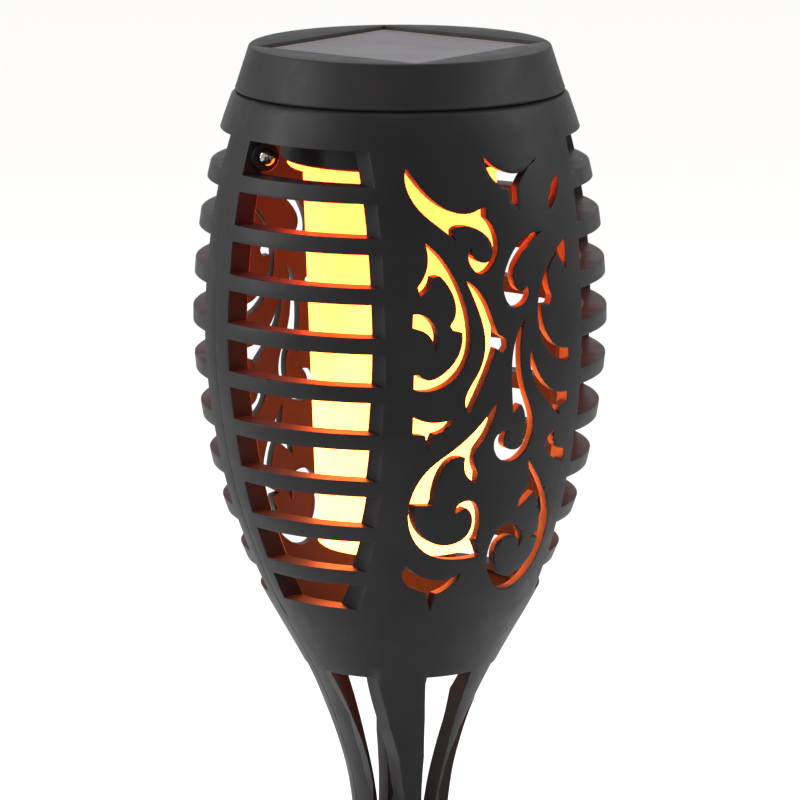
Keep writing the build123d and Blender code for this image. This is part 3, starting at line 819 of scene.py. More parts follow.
@dataclass
class Bowl:
    """The two half shells with the louvres and the scrollwork, and the screws that close them."""

    edge_mm: float = 0.12
    edge_deg: float = 50.0
    weld_mm: float = 0.002
    flat_deg: float = 0.1
    shade_deg: float = 42.0
    face_weight: int = 60
    parting_mm: float = 0.13
    closed_mm: float = 0.004
    boss_x: float = 33.2
    boss_z: float = 370.7
    screw_seat_y: float = -5.0
    screw_length: float = 9.0

    def build(self, finishes: Finishes) -> None:
        """Soften the shells' edges and turn the screws.

        Args:
            finishes: The finishes to dress the pieces in.
        """
        for node in ("front_shell", "rear_shell"):
            deliver(self.soften_shell(node), Body.BOWL, "shell_plastic", node, finish=finishes.shell)
        front = Screw(length=self.screw_length).build("bowl_screw_front")
        Bench.place(front, turn_deg=(90, 0, 0))
        Bench.place(front, move_mm=(-self.boss_x, self.screw_seat_y, self.boss_z))
        rear = Bench.copy(front, "bowl_screw_rear")
        Bench.place(rear, turn_deg=(0, 0, 180))
        pair = Bench.join([front, rear], "bowl_screws")
        deliver(pair, Body.BOWL, "screw_steel", "shell_screws", finish=finishes.screw)

    def soften_shell(self, node: str) -> bpy.types.Object:
        """Copy a shell's frame node, close its parting line and break its moulded edges.

        Args:
            node: The CAD node to copy.

        Returns:
            The softened shell.
        """
        shell = Bench.twin_of_node(node, node + "_moulded")
        Bench.edit(shell)
        bpy.ops.mesh.remove_doubles(threshold=self.weld_mm * MM)
        bpy.ops.mesh.dissolve_limited(angle_limit=math.radians(self.flat_deg))
        bpy.ops.object.mode_set(mode="OBJECT")
        self.close_parting(shell)
        Bench.soften(shell, self.edge_mm, 1, self.edge_deg, clamp=False)
        Bench.smooth(shell, self.shade_deg)
        Bench.modify(shell, "WEIGHTED_NORMAL", mode="FACE_AREA", weight=self.face_weight, keep_sharp=True)
        return shell

    def close_parting(self, shell: bpy.types.Object) -> None:
        """Bring a shell's mating faces up to the parting plane, so that no light shows through.

        Args:
            shell: The shell to close.
        """
        for vertex in shell.data.vertices:
            if abs(vertex.co.y) < self.parting_mm * MM:
                vertex.co.y = math.copysign(self.closed_mm * MM, vertex.co.y)


@dataclass
class Screw:
    """Cross-head pan screw, modelled upright with its head's seat at the origin and its point down."""

    length: float = 9.0
    shank_r: float = 0.95
    root_r: float = 0.72
    pitch: float = 0.5
    first_thread: float = 0.6
    point_length: float = 1.2
    point_r: float = 0.3
    point_taper: float = 0.2
    head_r: float = 1.7
    head_height: float = 1.4
    head_rim: float = 0.1
    dome_share: float = 0.55
    dome_deg: tuple[float, ...] = (25.0, 45.0, 62.0, 78.0, 90.0)
    cross_length: float = 2.4
    cross_width: float = 0.72
    cross_depth: float = 1.1
    cross_taper: float = 0.7
    sides: int = 24

    def build(self, name: str) -> bpy.types.Object:
        """Turn the head and the ridged shank, then sink the cross into the head.

        Args:
            name: Name of the screw.

        Returns:
            The screw.
        """
        rings: list[Ring] = [(0, self.head_height)]
        for angle in (math.radians(degrees) for degrees in self.dome_deg):
            level = 1 - self.dome_share + self.dome_share * math.cos(angle)
            rings.append((self.head_r * math.sin(angle), self.head_height * level))
        rings += [(self.head_r, self.head_rim), (self.head_r - self.head_rim, 0.0), (self.shank_r, 0.0)]
        depth = self.first_thread
        while depth < self.length - self.point_length:
            rings += [(self.shank_r, -depth), (self.root_r, -depth - self.pitch * 0.5)]
            depth += self.pitch
        rings += [(self.shank_r, -depth), (self.point_r, -self.length + self.point_taper), (0, -self.length)]
        screw = Bench.lathe(name, rings, self.sides)
        for size in ((self.cross_length, self.cross_width), (self.cross_width, self.cross_length)):
            cutter = Bench.block("cross_cutter", (*size, 2 * self.cross_depth), (0, 0, self.head_height))
            Bench.edit(cutter)
            Bench.pick(cutter, "FACE", faces_down)
            bpy.ops.transform.resize(value=(self.cross_taper, self.cross_taper, 1))
            bpy.ops.object.mode_set(mode="OBJECT")
            Bench.cut(screw, cutter)
        Bench.smooth(screw, 35.0)
        return screw


# ---------------------------------------------------------------- the lamp head


@dataclass
class CapAndPanel:
    """The round cap with its square pocket and the solar tile that lies in it."""

    top_z: float = 391.0
    bottom_z: float = 381.8
    cavity_z: float = 387.2
    top_r: float = 31.0
    bottom_r: float = 33.8
    cavity_r: float = 30.9
    top_round: float = 0.5
    bottom_round: float = 0.6
    round_inset: float = 0.1
    lip_edge: float = 0.3
    cavity_edge: float = 0.4
    pocket: float = 41.3
    pocket_depth: float = 2.8
    pocket_edge: float = 0.25
    turn_deg: float = 23.6
    wire_r: float = 1.6
    boss_r: float = 2.4
    boss_bore_r: float = 1.05
    boss_foot: float = 384.6
    boss_edge: float = 0.2
    tile: float = 41.1
    tile_thick: float = 2.0
    tile_sink: float = 0.8
    tile_border: float = 0.7
    tile_edge: float = 0.12
    glass_step: float = 0.05
    glass_sink: float = 0.12
    border_slack: float = 0.02

    def build(self, finishes: Finishes) -> None:
        """Make the cap, then the tile.

        Args:
            finishes: The finishes to dress the pieces in.
        """
        deliver(self.make_cap(), Body.LAMP, "cap_plastic", "top_cap", finish=finishes.cap)
        deliver(self.make_tile(finishes), Body.LAMP, "panel_face", "solar_panel")

    def cap_rings(self) -> list[Ring]:
        """Work out the cap's turned section.

        Returns:
            Radius and height of each ring, from the top's middle to the cavity's.
        """
        slope = (self.bottom_r - self.top_r) / (self.top_z - self.bottom_z)
        shoulder = self.bottom_z + self.bottom_round
        rings: list[Ring] = [(0, self.top_z), (self.top_r * 0.5, self.top_z)]
        rings += arc((self.top_r - self.top_round, self.top_z - self.top_round), self.top_round, 90, 15, 5)
        rings += [(self.bottom_r - slope * self.bottom_round, shoulder + self.round_inset)]
        rings += arc((self.bottom_r - self.bottom_round - self.round_inset, shoulder),
                     self.bottom_round, 0, -90, 5)
        rings += [(self.cavity_r + self.lip_edge, self.bottom_z),
                  (self.cavity_r, self.bottom_z + self.lip_edge),
                  (self.cavity_r, self.cavity_z + self.cavity_edge),
                  (self.cavity_r - self.cavity_edge, self.cavity_z),
                  (self.cavity_r * 0.5, self.cavity_z), (0, self.cavity_z)]
        return rings

    def make_cap(self) -> bpy.types.Object:
        """Turn the cap with rounded rims, sink the pocket and add the screw bosses.

        Returns:
            The cap.
        """
        cap = Bench.lathe("cap_moulded", self.cap_rings(), 128)
        cutter = Bench.block("pocket_cutter", (self.pocket, self.pocket, 2 * self.pocket_depth),
                             (0, 0, self.top_z))
        Bench.place(cutter, turn_deg=(0, 0, self.turn_deg))
        Bench.cut(cap, cutter)
        Bench.cut(cap, Bench.rod("wire_cutter", self.wire_r, self.cavity_z - 1, self.top_z + 1, 24))
        Bench.soften(cap, self.pocket_edge, 2, 60.0, clamp=False)
        edge, foot, bore = self.boss_edge, self.boss_foot, self.boss_bore_r
        root = self.cavity_z + edge
        rings = [(bore, root), (self.boss_r, root), (self.boss_r, foot + edge), (self.boss_r - edge, foot),
                 (bore + edge, foot), (bore, foot + edge)]
        boss = Bench.lathe("cap_boss", rings, 32, closed=True)
        Bench.place(boss, move_mm=(0, -SCREW_CIRCLE_R, 0))
        cap = Bench.join([cap, *Bench.ring_of(boss, THIRDS)], "cap_moulded")
        Bench.smooth(cap, 32.0)
        return cap

    def make_tile(self, finishes: Finishes) -> bpy.types.Object:
        """Make the laminated tile: a grey face inside a narrow tan rim, on a thin backing.

        Args:
            finishes: The finishes to dress the tile in.

        Returns:
            The tile.
        """
        middle = self.top_z - self.tile_sink - self.tile_thick / 2
        tile = Bench.block("solar_tile", (self.tile, self.tile, self.tile_thick), (0, 0, middle))
        Bench.edit(tile)
        Bench.pick(tile, "FACE", faces_up)
        bpy.ops.mesh.inset(thickness=self.tile_border * MM, depth=0.0)
        bpy.ops.mesh.inset(thickness=self.glass_step * MM, depth=-self.glass_sink * MM)
        bpy.ops.object.mode_set(mode="OBJECT")
        Bench.soften(tile, self.tile_edge, 2, 40.0)
        Bench.place(tile, turn_deg=(0, 0, self.turn_deg))
        tile.data.materials.append(finishes.tile_rim)
        tile.data.materials.append(finishes.solar)
        half = self.tile / 2 - self.tile_border - self.border_slack
        turn = math.radians(self.turn_deg)
        for face in tile.data.polygons:
            x = face.center.x * math.cos(turn) + face.center.y * math.sin(turn)
            y = -face.center.x * math.sin(turn) + face.center.y * math.cos(turn)
            inside = max(abs(x), abs(y)) < half * MM
            face.material_index = 1 if inside and faces_up(face.center, face.normal) else 0
        Bench.smooth(tile, 30.0)
        return tile


@dataclass
class LampHousing:
    """The drum under the cap with its bayonet lugs, and the sealing ring round it."""

    rim_r: float = 28.8
    rim_top: float = 384.6
    rim_bottom: float = 382.6
    drum_r: float = 24.5
    bore_r: float = 22.7
    bottom: float = 368.0
    floor: float = 1.6
    hole_r: float = 4.0
    rim_edge: float = 0.3
    neck_edge: float = 0.4
    foot_edge: float = 0.5
    screw_bore_r: float = 1.05
    screw_bore_z: tuple[float, float] = (380.0, 386.0)
    screw_length: float = 4.0
    lug_count: int = 4
    lug_turn: float = 45.0
    lug_r: float = 30.4
    lug_width: float = 8.0
    lug_top: float = 379.0
    lug_thick: float = 2.0
    lug_root: float = 0.6
    lug_edge: float = 0.35
    slot: tuple[float, float] = (5.4, 3.2)
    slot_depth: float = 8.0
    slot_z: float = 374.4
    slot_round: float = 0.5
    seal_r: float = 29.9
    seal_z: float = 382.45
    seal_section_r: float = 0.66

    def build(self, finishes: Finishes) -> None:
        """Make the drum, its screws and the seal.

        Args:
            finishes: The finishes to dress the pieces in.
        """
        deliver(self.make_drum(), Body.LAMP, "inner_plastic", "lamp_housing", finish=finishes.inner)
        screw = Screw(length=self.screw_length).build("housing_screw")
        Bench.place(screw, turn_deg=(180, 0, 0))
        Bench.place(screw, move_mm=(0, -SCREW_CIRCLE_R, self.rim_bottom))
        screws = Bench.join(Bench.ring_of(screw, THIRDS), "housing_screws_set")
        deliver(screws, Body.LAMP, "screw_steel", "housing_screws", finish=finishes.screw)
        section = arc((self.seal_r, self.seal_z), self.seal_section_r, 0, 330, 11)
        seal = Bench.lathe("seal_ring_moulded", section, 128, closed=True)
        Bench.smooth(seal, 60.0)
        deliver(seal, Body.SEAL, "seal_rubber", "seal_ring", finish=finishes.rubber)

    def drum_rings(self) -> list[Ring]:
        """Work out the drum's turned section.

        Returns:
            Radius and height of each ring, round the wall from the bore's top.
        """
        edge, neck, foot = self.rim_edge, self.neck_edge, self.foot_edge
        high, under, low, ledge = self.rim_top, self.rim_bottom, self.bottom, self.bottom + self.floor
        rim = [(self.bore_r, high), (self.rim_r - edge, high), (self.rim_r, high - edge),
               (self.rim_r, under + edge), (self.rim_r - edge, under)]
        drum = [(self.drum_r + neck, under), (self.drum_r, under - neck), (self.drum_r, low + foot),
                (self.drum_r - foot, low)]
        floor = [(self.hole_r + edge, low), (self.hole_r, low + edge), (self.hole_r, ledge),
                 (self.bore_r - foot, ledge), (self.bore_r, ledge + foot)]
        return rim + drum + floor

    def make_drum(self) -> bpy.types.Object:
        """Turn the drum, add the lugs and cut the screw holes and the switch's slot.

        Returns:
            The drum.
        """
        drum = Bench.lathe("lamp_drum", self.drum_rings(), 128, closed=True)
        hole = Bench.rod("screw_cutter", self.screw_bore_r, *self.screw_bore_z, 20)
        Bench.place(hole, move_mm=(0, -SCREW_CIRCLE_R, 0))
        for cutter in Bench.ring_of(hole, THIRDS):
            Bench.cut(drum, cutter)
        slot = Bench.block("slot_cutter", (self.slot[0], self.slot_depth, self.slot[1]),
                           (0, self.drum_r, self.slot_z))
        Bench.soften(slot, self.slot_round, 3)
        Bench.cut(drum, slot)
        reach = self.lug_r - self.drum_r + self.lug_root
        lug = Bench.block("bayonet_lug", (self.lug_width, reach, self.lug_thick),
                          (0, reach / 2 - self.lug_r, self.lug_top - self.lug_thick / 2))
        Bench.soften(lug, self.lug_edge, 2)
        turns = [self.lug_turn + i * 360 / self.lug_count for i in range(self.lug_count)]
        drum = Bench.join([drum, *Bench.ring_of(lug, turns)], "lamp_drum")
        Bench.smooth(drum, 35.0)
        return drum


@dataclass
class PowerPack:
    """The cell in its cradle, the spring contacts, the control board and the switch."""

    cell_r: float = 7.2
    cell_length: float = 28.7
    cell_y: float = -4.0
    cell_z: float = 379.4
    nub_r: float = 2.5
    nub_rise: float = 0.8
    crimp_r: float = 4.9
    crimp_sink: float = 0.15
    groove_depth: float = 0.35
    bare_r: float = 5.8
    floor_z: float = 369.6
    cradle: tuple[float, float] = (24.0, 17.0)
    cradle_top: float = 378.4
    trough_slack: float = 0.05
    trough_reach: float = 30.0
    hole_r: float = 4.0
    hole_z: tuple[float, float] = (360.0, 380.0)
    plate: Point = (0.4, 9.0, 15.0)
    plus_x: float = 15.35
    minus_x: float = -16.73
    spring_x: float = -16.2
    spring_r: float = 3.6
    spring_rise: float = 1.5
    spring_taper: float = 0.66
    spring_turns: int = 4
    spring_steps: int = 24
    wire_r: float = 0.3
    wire_sides: int = 10
    board_y: float = 9.0
    board_thick: float = 1.6
    board_length: float = 30.0
    board_top: float = 384.0
    board_hole_r: float = 0.9
    board_hole_x: float = 12.5
    board_hole_rise: float = 4.0
    chip: Point = (5.0, 1.3, 4.0)
    chip_x: float = -8.0
    chip_z: float = 378.0
    chip_lift: float = 0.95
    leg: Point = (0.4, 0.25, 0.9)
    leg_count: int = 4
    leg_pitch: float = 1.2
    leg_lift: float = 0.14
    leg_reach: float = 2.2
    coil_at: Ring = (2.0, 377.0)
    can_at: Ring = (10.0, 379.0)
    switch_case: Point = (9.0, 3.6, 4.6)
    switch_y: float = 20.4
    switch_z: float = 374.4
    switch_travel: float = 2.0
    mouth: Point = (5.4, 3.2, 3.2)
    mouth_y: float = 21.4
    thumb: Point = (2.6, 5.8, 2.4)
    thumb_y: float = 23.1
    grip_groove: Point = (0.25, 0.7, 3.0)
    grip_pitch: float = 0.6

    def build(self, finishes: Finishes) -> None:
        """Make every piece inside the drum.

        Args:
            finishes: The finishes to dress the pieces in.
        """
        deliver(self.make_cell(finishes), Body.LAMP, "cell_wrap", "battery_cell")
        deliver(self.make_cradle(), Body.LAMP, "inner_plastic", "battery_cradle", finish=finishes.inner)
        deliver(self.make_contacts(), Body.LAMP, "contact_steel", "battery_contacts", finish=finishes.nickel)
        deliver(self.make_board(), Body.LAMP, "board_laminate", "control_board", finish=finishes.laminate)
        deliver(self.make_board_parts(finishes), Body.LAMP, "chip_plastic", "board_parts")
        deliver(self.make_switch_case(), Body.LAMP, "switch_plastic", "switch_body", finish=finishes.nylon)
        deliver(self.make_thumb(), Body.SWITCH, "switch_plastic", "switch_slider", finish=finishes.nylon)

    def cell_rings(self) -> list[Ring]:
        """Work out the cell's section: plus nub, crimp, sleeve with its groove, and the minus end.

        Returns:
            Radius and height of each ring, from the plus end down.
        """
        half, r, nub, crimp = self.cell_length / 2, self.cell_r, self.nub_r, self.crimp_r
        plus_end = [(0, half + self.nub_rise), (nub - 0.4, half + self.nub_rise), (nub - 0.1, half + 0.6),
                    (nub, half), (crimp - 0.3, half - self.crimp_sink), (crimp, half - 0.05),
                    (r - 0.5, half - 0.05), (r - 0.1, half - 0.35), (r, half - 0.8)]
        groove = [(r, half - 1.8), (r - self.groove_depth, half - 2.2), (r - self.groove_depth, half - 2.6),
                  (r, half - 3.0)]
        minus_end = [(r, -half + 0.5), (r - 0.15, -half + 0.15), (r - 0.6, -half), (r - 0.9, -half + 0.1),
                     (0, -half + 0.1)]
        return plus_end + groove + minus_end

    def make_cell(self, finishes: Finishes) -> bpy.types.Object:
        """Turn the cell: a wrapped can with a crimped plus end and a bare minus end.

        Args:
            finishes: The finishes to dress the cell in.

        Returns:
            The cell.
        """
        cell = Bench.lathe("cell_wrapped", self.cell_rings(), 64)
        cell.data.materials.append(finishes.wrap)
        cell.data.materials.append(finishes.nickel)
        end = (self.cell_length / 2 - 2 * self.crimp_sink) * MM
        for face in cell.data.polygons:
            radius = math.hypot(face.center.x, face.center.y)
            face.material_index = 1 if abs(face.center.z) > end and radius < self.bare_r * MM else 0
        Bench.smooth(cell, 40.0)
        Bench.place(cell, turn_deg=(0, 90, 0))
        Bench.place(cell, move_mm=(0, self.cell_y, self.cell_z))
        return cell

    def make_cradle(self) -> bpy.types.Object:
        """Hollow the cradle out round the cell and over the wire hole.

        Returns:
            The cradle.
        """
        cradle = Bench.block("cell_cradle", (*self.cradle, self.cradle_top - self.floor_z),
                             (0, self.cell_y, (self.cradle_top + self.floor_z) / 2))
        trough = Bench.rod("trough_cutter", self.cell_r + self.trough_slack,
                           -self.trough_reach, self.trough_reach, 64)
        Bench.place(trough, turn_deg=(0, 90, 0))
        Bench.place(trough, move_mm=(0, self.cell_y, self.cell_z))
        Bench.cut(cradle, trough)
        Bench.cut(cradle, Bench.rod("hole_cutter", self.hole_r, *self.hole_z, 48))
        Bench.soften(cradle, 0.2, 2, 50.0, clamp=False)
        Bench.smooth(cradle, 35.0)
        return cradle

    def make_contacts(self) -> bpy.types.Object:
        """Cut the two plates and wind the minus spring.

        Returns:
            The plates and the spring, joined.
        """
        parts = []
        for name, x in (("contact_plus", self.plus_x), ("contact_minus", self.minus_x)):
            plate = Bench.block(name, self.plate, (x, self.cell_y, self.floor_z + self.plate[2] / 2))
            Bench.edit(plate)
            bpy.ops.mesh.subdivide(number_cuts=2)
            bpy.ops.object.mode_set(mode="OBJECT")
            Bench.soften(plate, 0.1, 2, 50.0)
            parts.append(plate)
        contacts = Bench.join([*parts, self.wind_spring()], "contact_set")
        Bench.smooth(contacts, 40.0)
        return contacts

    def wind_spring(self) -> bpy.types.Object:
        """Spin the wire's section round flat, then draw the winding out and close its ends.

        Returns:
            The spring, at its place against the cell.
        """
        steps = self.spring_turns * self.spring_steps
        bpy.ops.mesh.primitive_circle_add(vertices=self.wire_sides, radius=self.wire_r * MM,
                                          location=(self.spring_r * MM, 0, 0), rotation=(math.pi / 2, 0, 0))
        spring = bpy.context.object
        spring.name = "minus_spring"
        Bench.settle(spring)
        Bench.edit(spring, "EDGE")
        bpy.ops.mesh.spin(steps=steps, angle=-2 * math.pi * self.spring_turns,
                          center=(0, 0, 0), axis=(0, 0, 1))
        bpy.ops.object.mode_set(mode="OBJECT")
        self.draw_out_spring(spring, steps)
        Bench.edit(spring)
        bpy.ops.mesh.fill_holes(sides=0)
        bpy.ops.mesh.normals_make_consistent(inside=False)
        bpy.ops.object.mode_set(mode="OBJECT")
        Bench.place(spring, turn_deg=(0, 90, 0))
        Bench.place(spring, move_mm=(self.spring_x, self.cell_y, self.cell_z))
        return spring

    def draw_out_spring(self, spring: bpy.types.Object, steps: int) -> None:
        """Draw the flat winding out along its axis and narrow it, turn by turn.

        Args:
            spring: The flat winding, ring after ring of the wire's section.
            steps: Number of steps from the first ring to the last.
        """
        middle = self.spring_r * MM
        for ring in range(steps + 1):
            share = ring / steps
            grow = 1 + (self.spring_taper - 1) * share
            for vertex in spring.data.vertices[ring * self.wire_sides:(ring + 1) * self.wire_sides]:
                radius = math.hypot(vertex.co.x, vertex.co.y)
                scale = (middle * grow + radius - middle) / radius
                vertex.co.x *= scale
                vertex.co.y *= scale
                vertex.co.z += self.spring_rise * MM * share

    def make_board(self) -> bpy.types.Object:
        """Cut the board and its two holes.

        Returns:
            The board.
        """
        middle, height = (self.board_top + self.floor_z) / 2, self.board_top - self.floor_z
        board = Bench.block("board_blank", (self.board_length, self.board_thick, height),
                            (0, self.board_y + self.board_thick / 2, middle))
        for x in (-self.board_hole_x, self.board_hole_x):
            hole = Bench.rod("board_hole", self.board_hole_r, -4, 4, 20)
            Bench.place(hole, turn_deg=(90, 0, 0))
            Bench.place(hole, move_mm=(x, self.board_y, middle + self.board_hole_rise))
            Bench.cut(board, hole)
        Bench.soften(board, 0.15, 2, 50.0, clamp=False)
        board.name = "circuit_board"
        Bench.smooth(board, 30.0)
        return board

    def make_board_parts(self, finishes: Finishes) -> bpy.types.Object:
        """Make the chip with its legs, the coil and the capacitor.

        Args:
            finishes: The finishes to dress the parts in.

        Returns:
            The parts, joined.
        """
        coil = Bench.lathe("coil_drum", [(0, 0), (2.5, 0), (2.5, 0.5), (2.0, 0.7), (2.0, 2.3), (2.5, 2.5),
                                         (2.5, 2.9), (2.3, 3.0), (0.6, 3.0), (0, 2.8)], 32)
        can = Bench.lathe("capacitor_can", [(0, 0), (1.9, 0), (2.0, 0.2), (1.8, 0.4), (2.0, 0.6), (2.0, 2.3),
                                            (1.8, 2.5), (0, 2.5)], 32)
        for part, finish, (x, z) in ((coil, finishes.epoxy, self.coil_at),
                                     (can, finishes.nickel, self.can_at)):
            part.data.materials.append(finish)
            Bench.place(part, turn_deg=(-90, 0, 0))
            Bench.place(part, move_mm=(x, self.board_y + self.board_thick, z))
        parts = Bench.join([*self.make_chip(finishes), coil, can], "board_part_set")
        Bench.smooth(parts, 35.0)
        return parts

    def make_chip(self, finishes: Finishes) -> list[bpy.types.Object]:
        """Make the chip and the legs along both its sides.

        Args:
            finishes: The finishes to dress the parts in.

        Returns:
            The chip, then its legs.
        """
        face = self.board_y + self.board_thick
        chip = Bench.block("chip", self.chip, (self.chip_x, face + self.chip_lift, self.chip_z))
        Bench.soften(chip, 0.2, 2)
        chip.data.materials.append(finishes.epoxy)
        parts = [chip]
        first_x = self.chip_x - self.leg_pitch * (self.leg_count - 1) / 2
        for i in range(self.leg_count):
            for side in (-1, 1):
                leg = Bench.block("chip_leg", self.leg, (first_x + self.leg_pitch * i, face + self.leg_lift,
                                                         self.chip_z + side * self.leg_reach))
                Bench.soften(leg, 0.05, 1)
                leg.data.materials.append(finishes.nickel)
                parts.append(leg)
        return parts

    def make_switch_case(self) -> bpy.types.Object:
        """Hollow the slide switch's case towards the slot.

        Returns:
            The case.
        """
        case = Bench.block("switch_case", self.switch_case, (0, self.switch_y, self.switch_z))
        Bench.cut(case, Bench.block("mouth_cutter", self.mouth, (0, self.mouth_y, self.switch_z)))
        Bench.soften(case, 0.15, 2, 50.0, clamp=False)
        Bench.smooth(case, 30.0)
        return case

    def make_thumb(self) -> bpy.types.Object:
        """Make the thumb piece with grooves across its grip.

        Returns:
            The thumb piece.
        """
        x, tip = -self.switch_travel / 2, self.thumb_y + self.thumb[1] / 2
        thumb = Bench.block("switch_thumb_piece", self.thumb, (x, self.thumb_y, self.switch_z))
        for offset in (-self.grip_pitch, 0.0, self.grip_pitch):
            Bench.cut(thumb, Bench.block("groove_cutter", self.grip_groove, (x + offset, tip, self.switch_z)))
        Bench.soften(thumb, 0.12, 2, 50.0, clamp=False)
        Bench.smooth(thumb, 30.0)
        return thumb


@dataclass
class LightEngine:
    """The lamp core with its wrapped board and lamps, inside the flame tube."""

    drum_bottom: float = 368.0
    tube_top_r: float = 20.0
    tube_bottom_r: float = 17.1
    tube_wall: float = 1.4
    tube_bottom: float = 287.3
    tube_round: float = 1.0
    bore_round: float = 0.6
    rim_r: float = 23.1
    rim_thick: float = 1.5
    rim_edge: float = 0.3
    rim_fillet: Ring = (0.4, 0.6)
    core_r: float = 7.0
    core_wall: float = 1.4
    core_bottom: float = 296.0
    core_edge: float = 0.5
    flange_r: float = 10.0
    flange_thick: float = 1.4
    flange_fillet: float = 0.6
    board_z: tuple[float, float] = (298.0, 364.0)
    board_slack: float = 0.05
    board_edge: float = 0.1
    lamp_seat: float = 7.75
    lamp_body: Point = (2.8, 0.7, 2.8)
    dome_lift: float = 0.68
    lamp_rows: int = 4
    lamp_columns: int = 3
    lamp_top: float = 356.0
    row_pitch: float = 16.0
    row_turn: float = 30.0

    def build(self, finishes: Finishes) -> None:
        """Make the tube, the core, the board and the lamps.

        Args:
            finishes: The finishes to dress the pieces in.
        """
        deliver(self.make_tube(), Body.LAMP, "tube_plastic", "flame_tube", finish=finishes.tube)
        deliver(self.make_core(), Body.LAMP, "core_plastic", "lamp_core", finish=finishes.post)
        deliver(self.make_board(), Body.LAMP, "led_board_film", "lamp_board", finish=finishes.film)
        deliver(self.make_lamps(finishes), Body.LAMP, "led_lens", "lamp_leds")

    def make_tube(self) -> bpy.types.Object:
        """Turn the tapering tube with its hanging rim and rounded closed end.

        Returns:
            The tube.
        """
        top, low, edge = self.drum_bottom, self.tube_bottom, self.rim_edge
        under, floor = top - self.rim_thick, low + self.tube_wall
        bore = self.tube_bottom_r - self.tube_wall
        rings: list[Ring] = [(0, low), (6.0, low), (12.0, low)]
        corner = (self.tube_bottom_r - self.tube_round, low + self.tube_round)
        rings += arc(corner, self.tube_round, -90, 0, 4)
        rings += [(self.tube_top_r - 0.1, under - self.rim_fillet[1]),
                  (self.tube_top_r + self.rim_fillet[0], under),
                  (self.rim_r - edge, under), (self.rim_r, under + edge),
                  (self.rim_r, top - edge), (self.rim_r - edge, top),
                  (self.tube_top_r - self.tube_wall, top), (bore, floor + self.bore_round),
                  (bore - self.bore_round, floor), (0, floor)]
        tube = Bench.lathe("flame_tube_frosted", rings, 96)
        Bench.smooth(tube, 40.0)
        return tube

    def make_core(self) -> bpy.types.Object:
        """Turn the hollow post with its fixing flange.

        Returns:
            The post.
        """
        top, r, bore, low = self.drum_bottom, self.core_r, self.core_r - self.core_wall, self.core_bottom
        under, fillet = top - self.flange_thick, self.flange_fillet
        rings = [(0, low), (r - self.core_edge, low), (r, low + self.core_edge), (r, under - fillet),
                 (r + fillet, under), (self.flange_r - 0.4, under), (self.flange_r, under + 0.3),
                 (self.flange_r, top), (bore, top), (bore, low + self.core_wall), (0, low + self.core_wall)]
        core = Bench.lathe("core_post", rings, 64)
        Bench.smooth(core, 35.0)
        return core

    def make_board(self) -> bpy.types.Object:
        """Turn the wrapped board's sleeve.

        Returns:
            The sleeve.
        """
        inner, outer, edge = self.core_r + self.board_slack, self.lamp_seat, self.board_edge
        low, high = self.board_z
        rings = [(inner, low), (outer - edge, low), (outer, low + edge), (outer, high - edge),
                 (outer - edge, high), (inner, high)]
        sleeve = Bench.lathe("board_sleeve", rings, 64, closed=True)
        Bench.smooth(sleeve, 35.0)
        return sleeve

    def make_lamps(self, finishes: Finishes) -> bpy.types.Object:
        """Make one surface-mounted lamp with its domed lens and copy it round the core.

        Args:
            finishes: The finishes to dress the lamps in.

        Returns:
            The lamps, joined.
        """
        body = Bench.block("lamp_body", self.lamp_body, (0, -self.lamp_seat - self.lamp_body[1] / 2, 0))
        Bench.soften(body, 0.12, 2)
        body.data.materials.append(finishes.film)
        dome = Bench.lathe("lamp_dome", [(0, 0.3), (0.5, 0.27), (0.9, 0.16), (1.15, 0.0), (1.15, -0.2),
                                         (0, -0.2)], 24)
        dome.data.materials.append(finishes.lens)
        Bench.place(dome, turn_deg=(90, 0, 0))
        Bench.place(dome, move_mm=(0, -self.lamp_seat - self.dome_lift, 0))
        lamp = Bench.join([body, dome], "lamp")
        lamps = []
        for row in range(self.lamp_rows):
            for column in range(self.lamp_columns):
                twin = Bench.copy(lamp, "lamp_copy")
                Bench.place(twin, (0, 0, self.lamp_top - self.row_pitch * row),
                            (0, 0, column * 360 / self.lamp_columns + row * self.row_turn))
                lamps.append(twin)
        bpy.data.objects.remove(lamp)
        lamp_set = Bench.join(lamps, "lamp_set")
        Bench.smooth(lamp_set, 40.0)
        return lamp_set


# ---------------------------------------------------------------- the pole


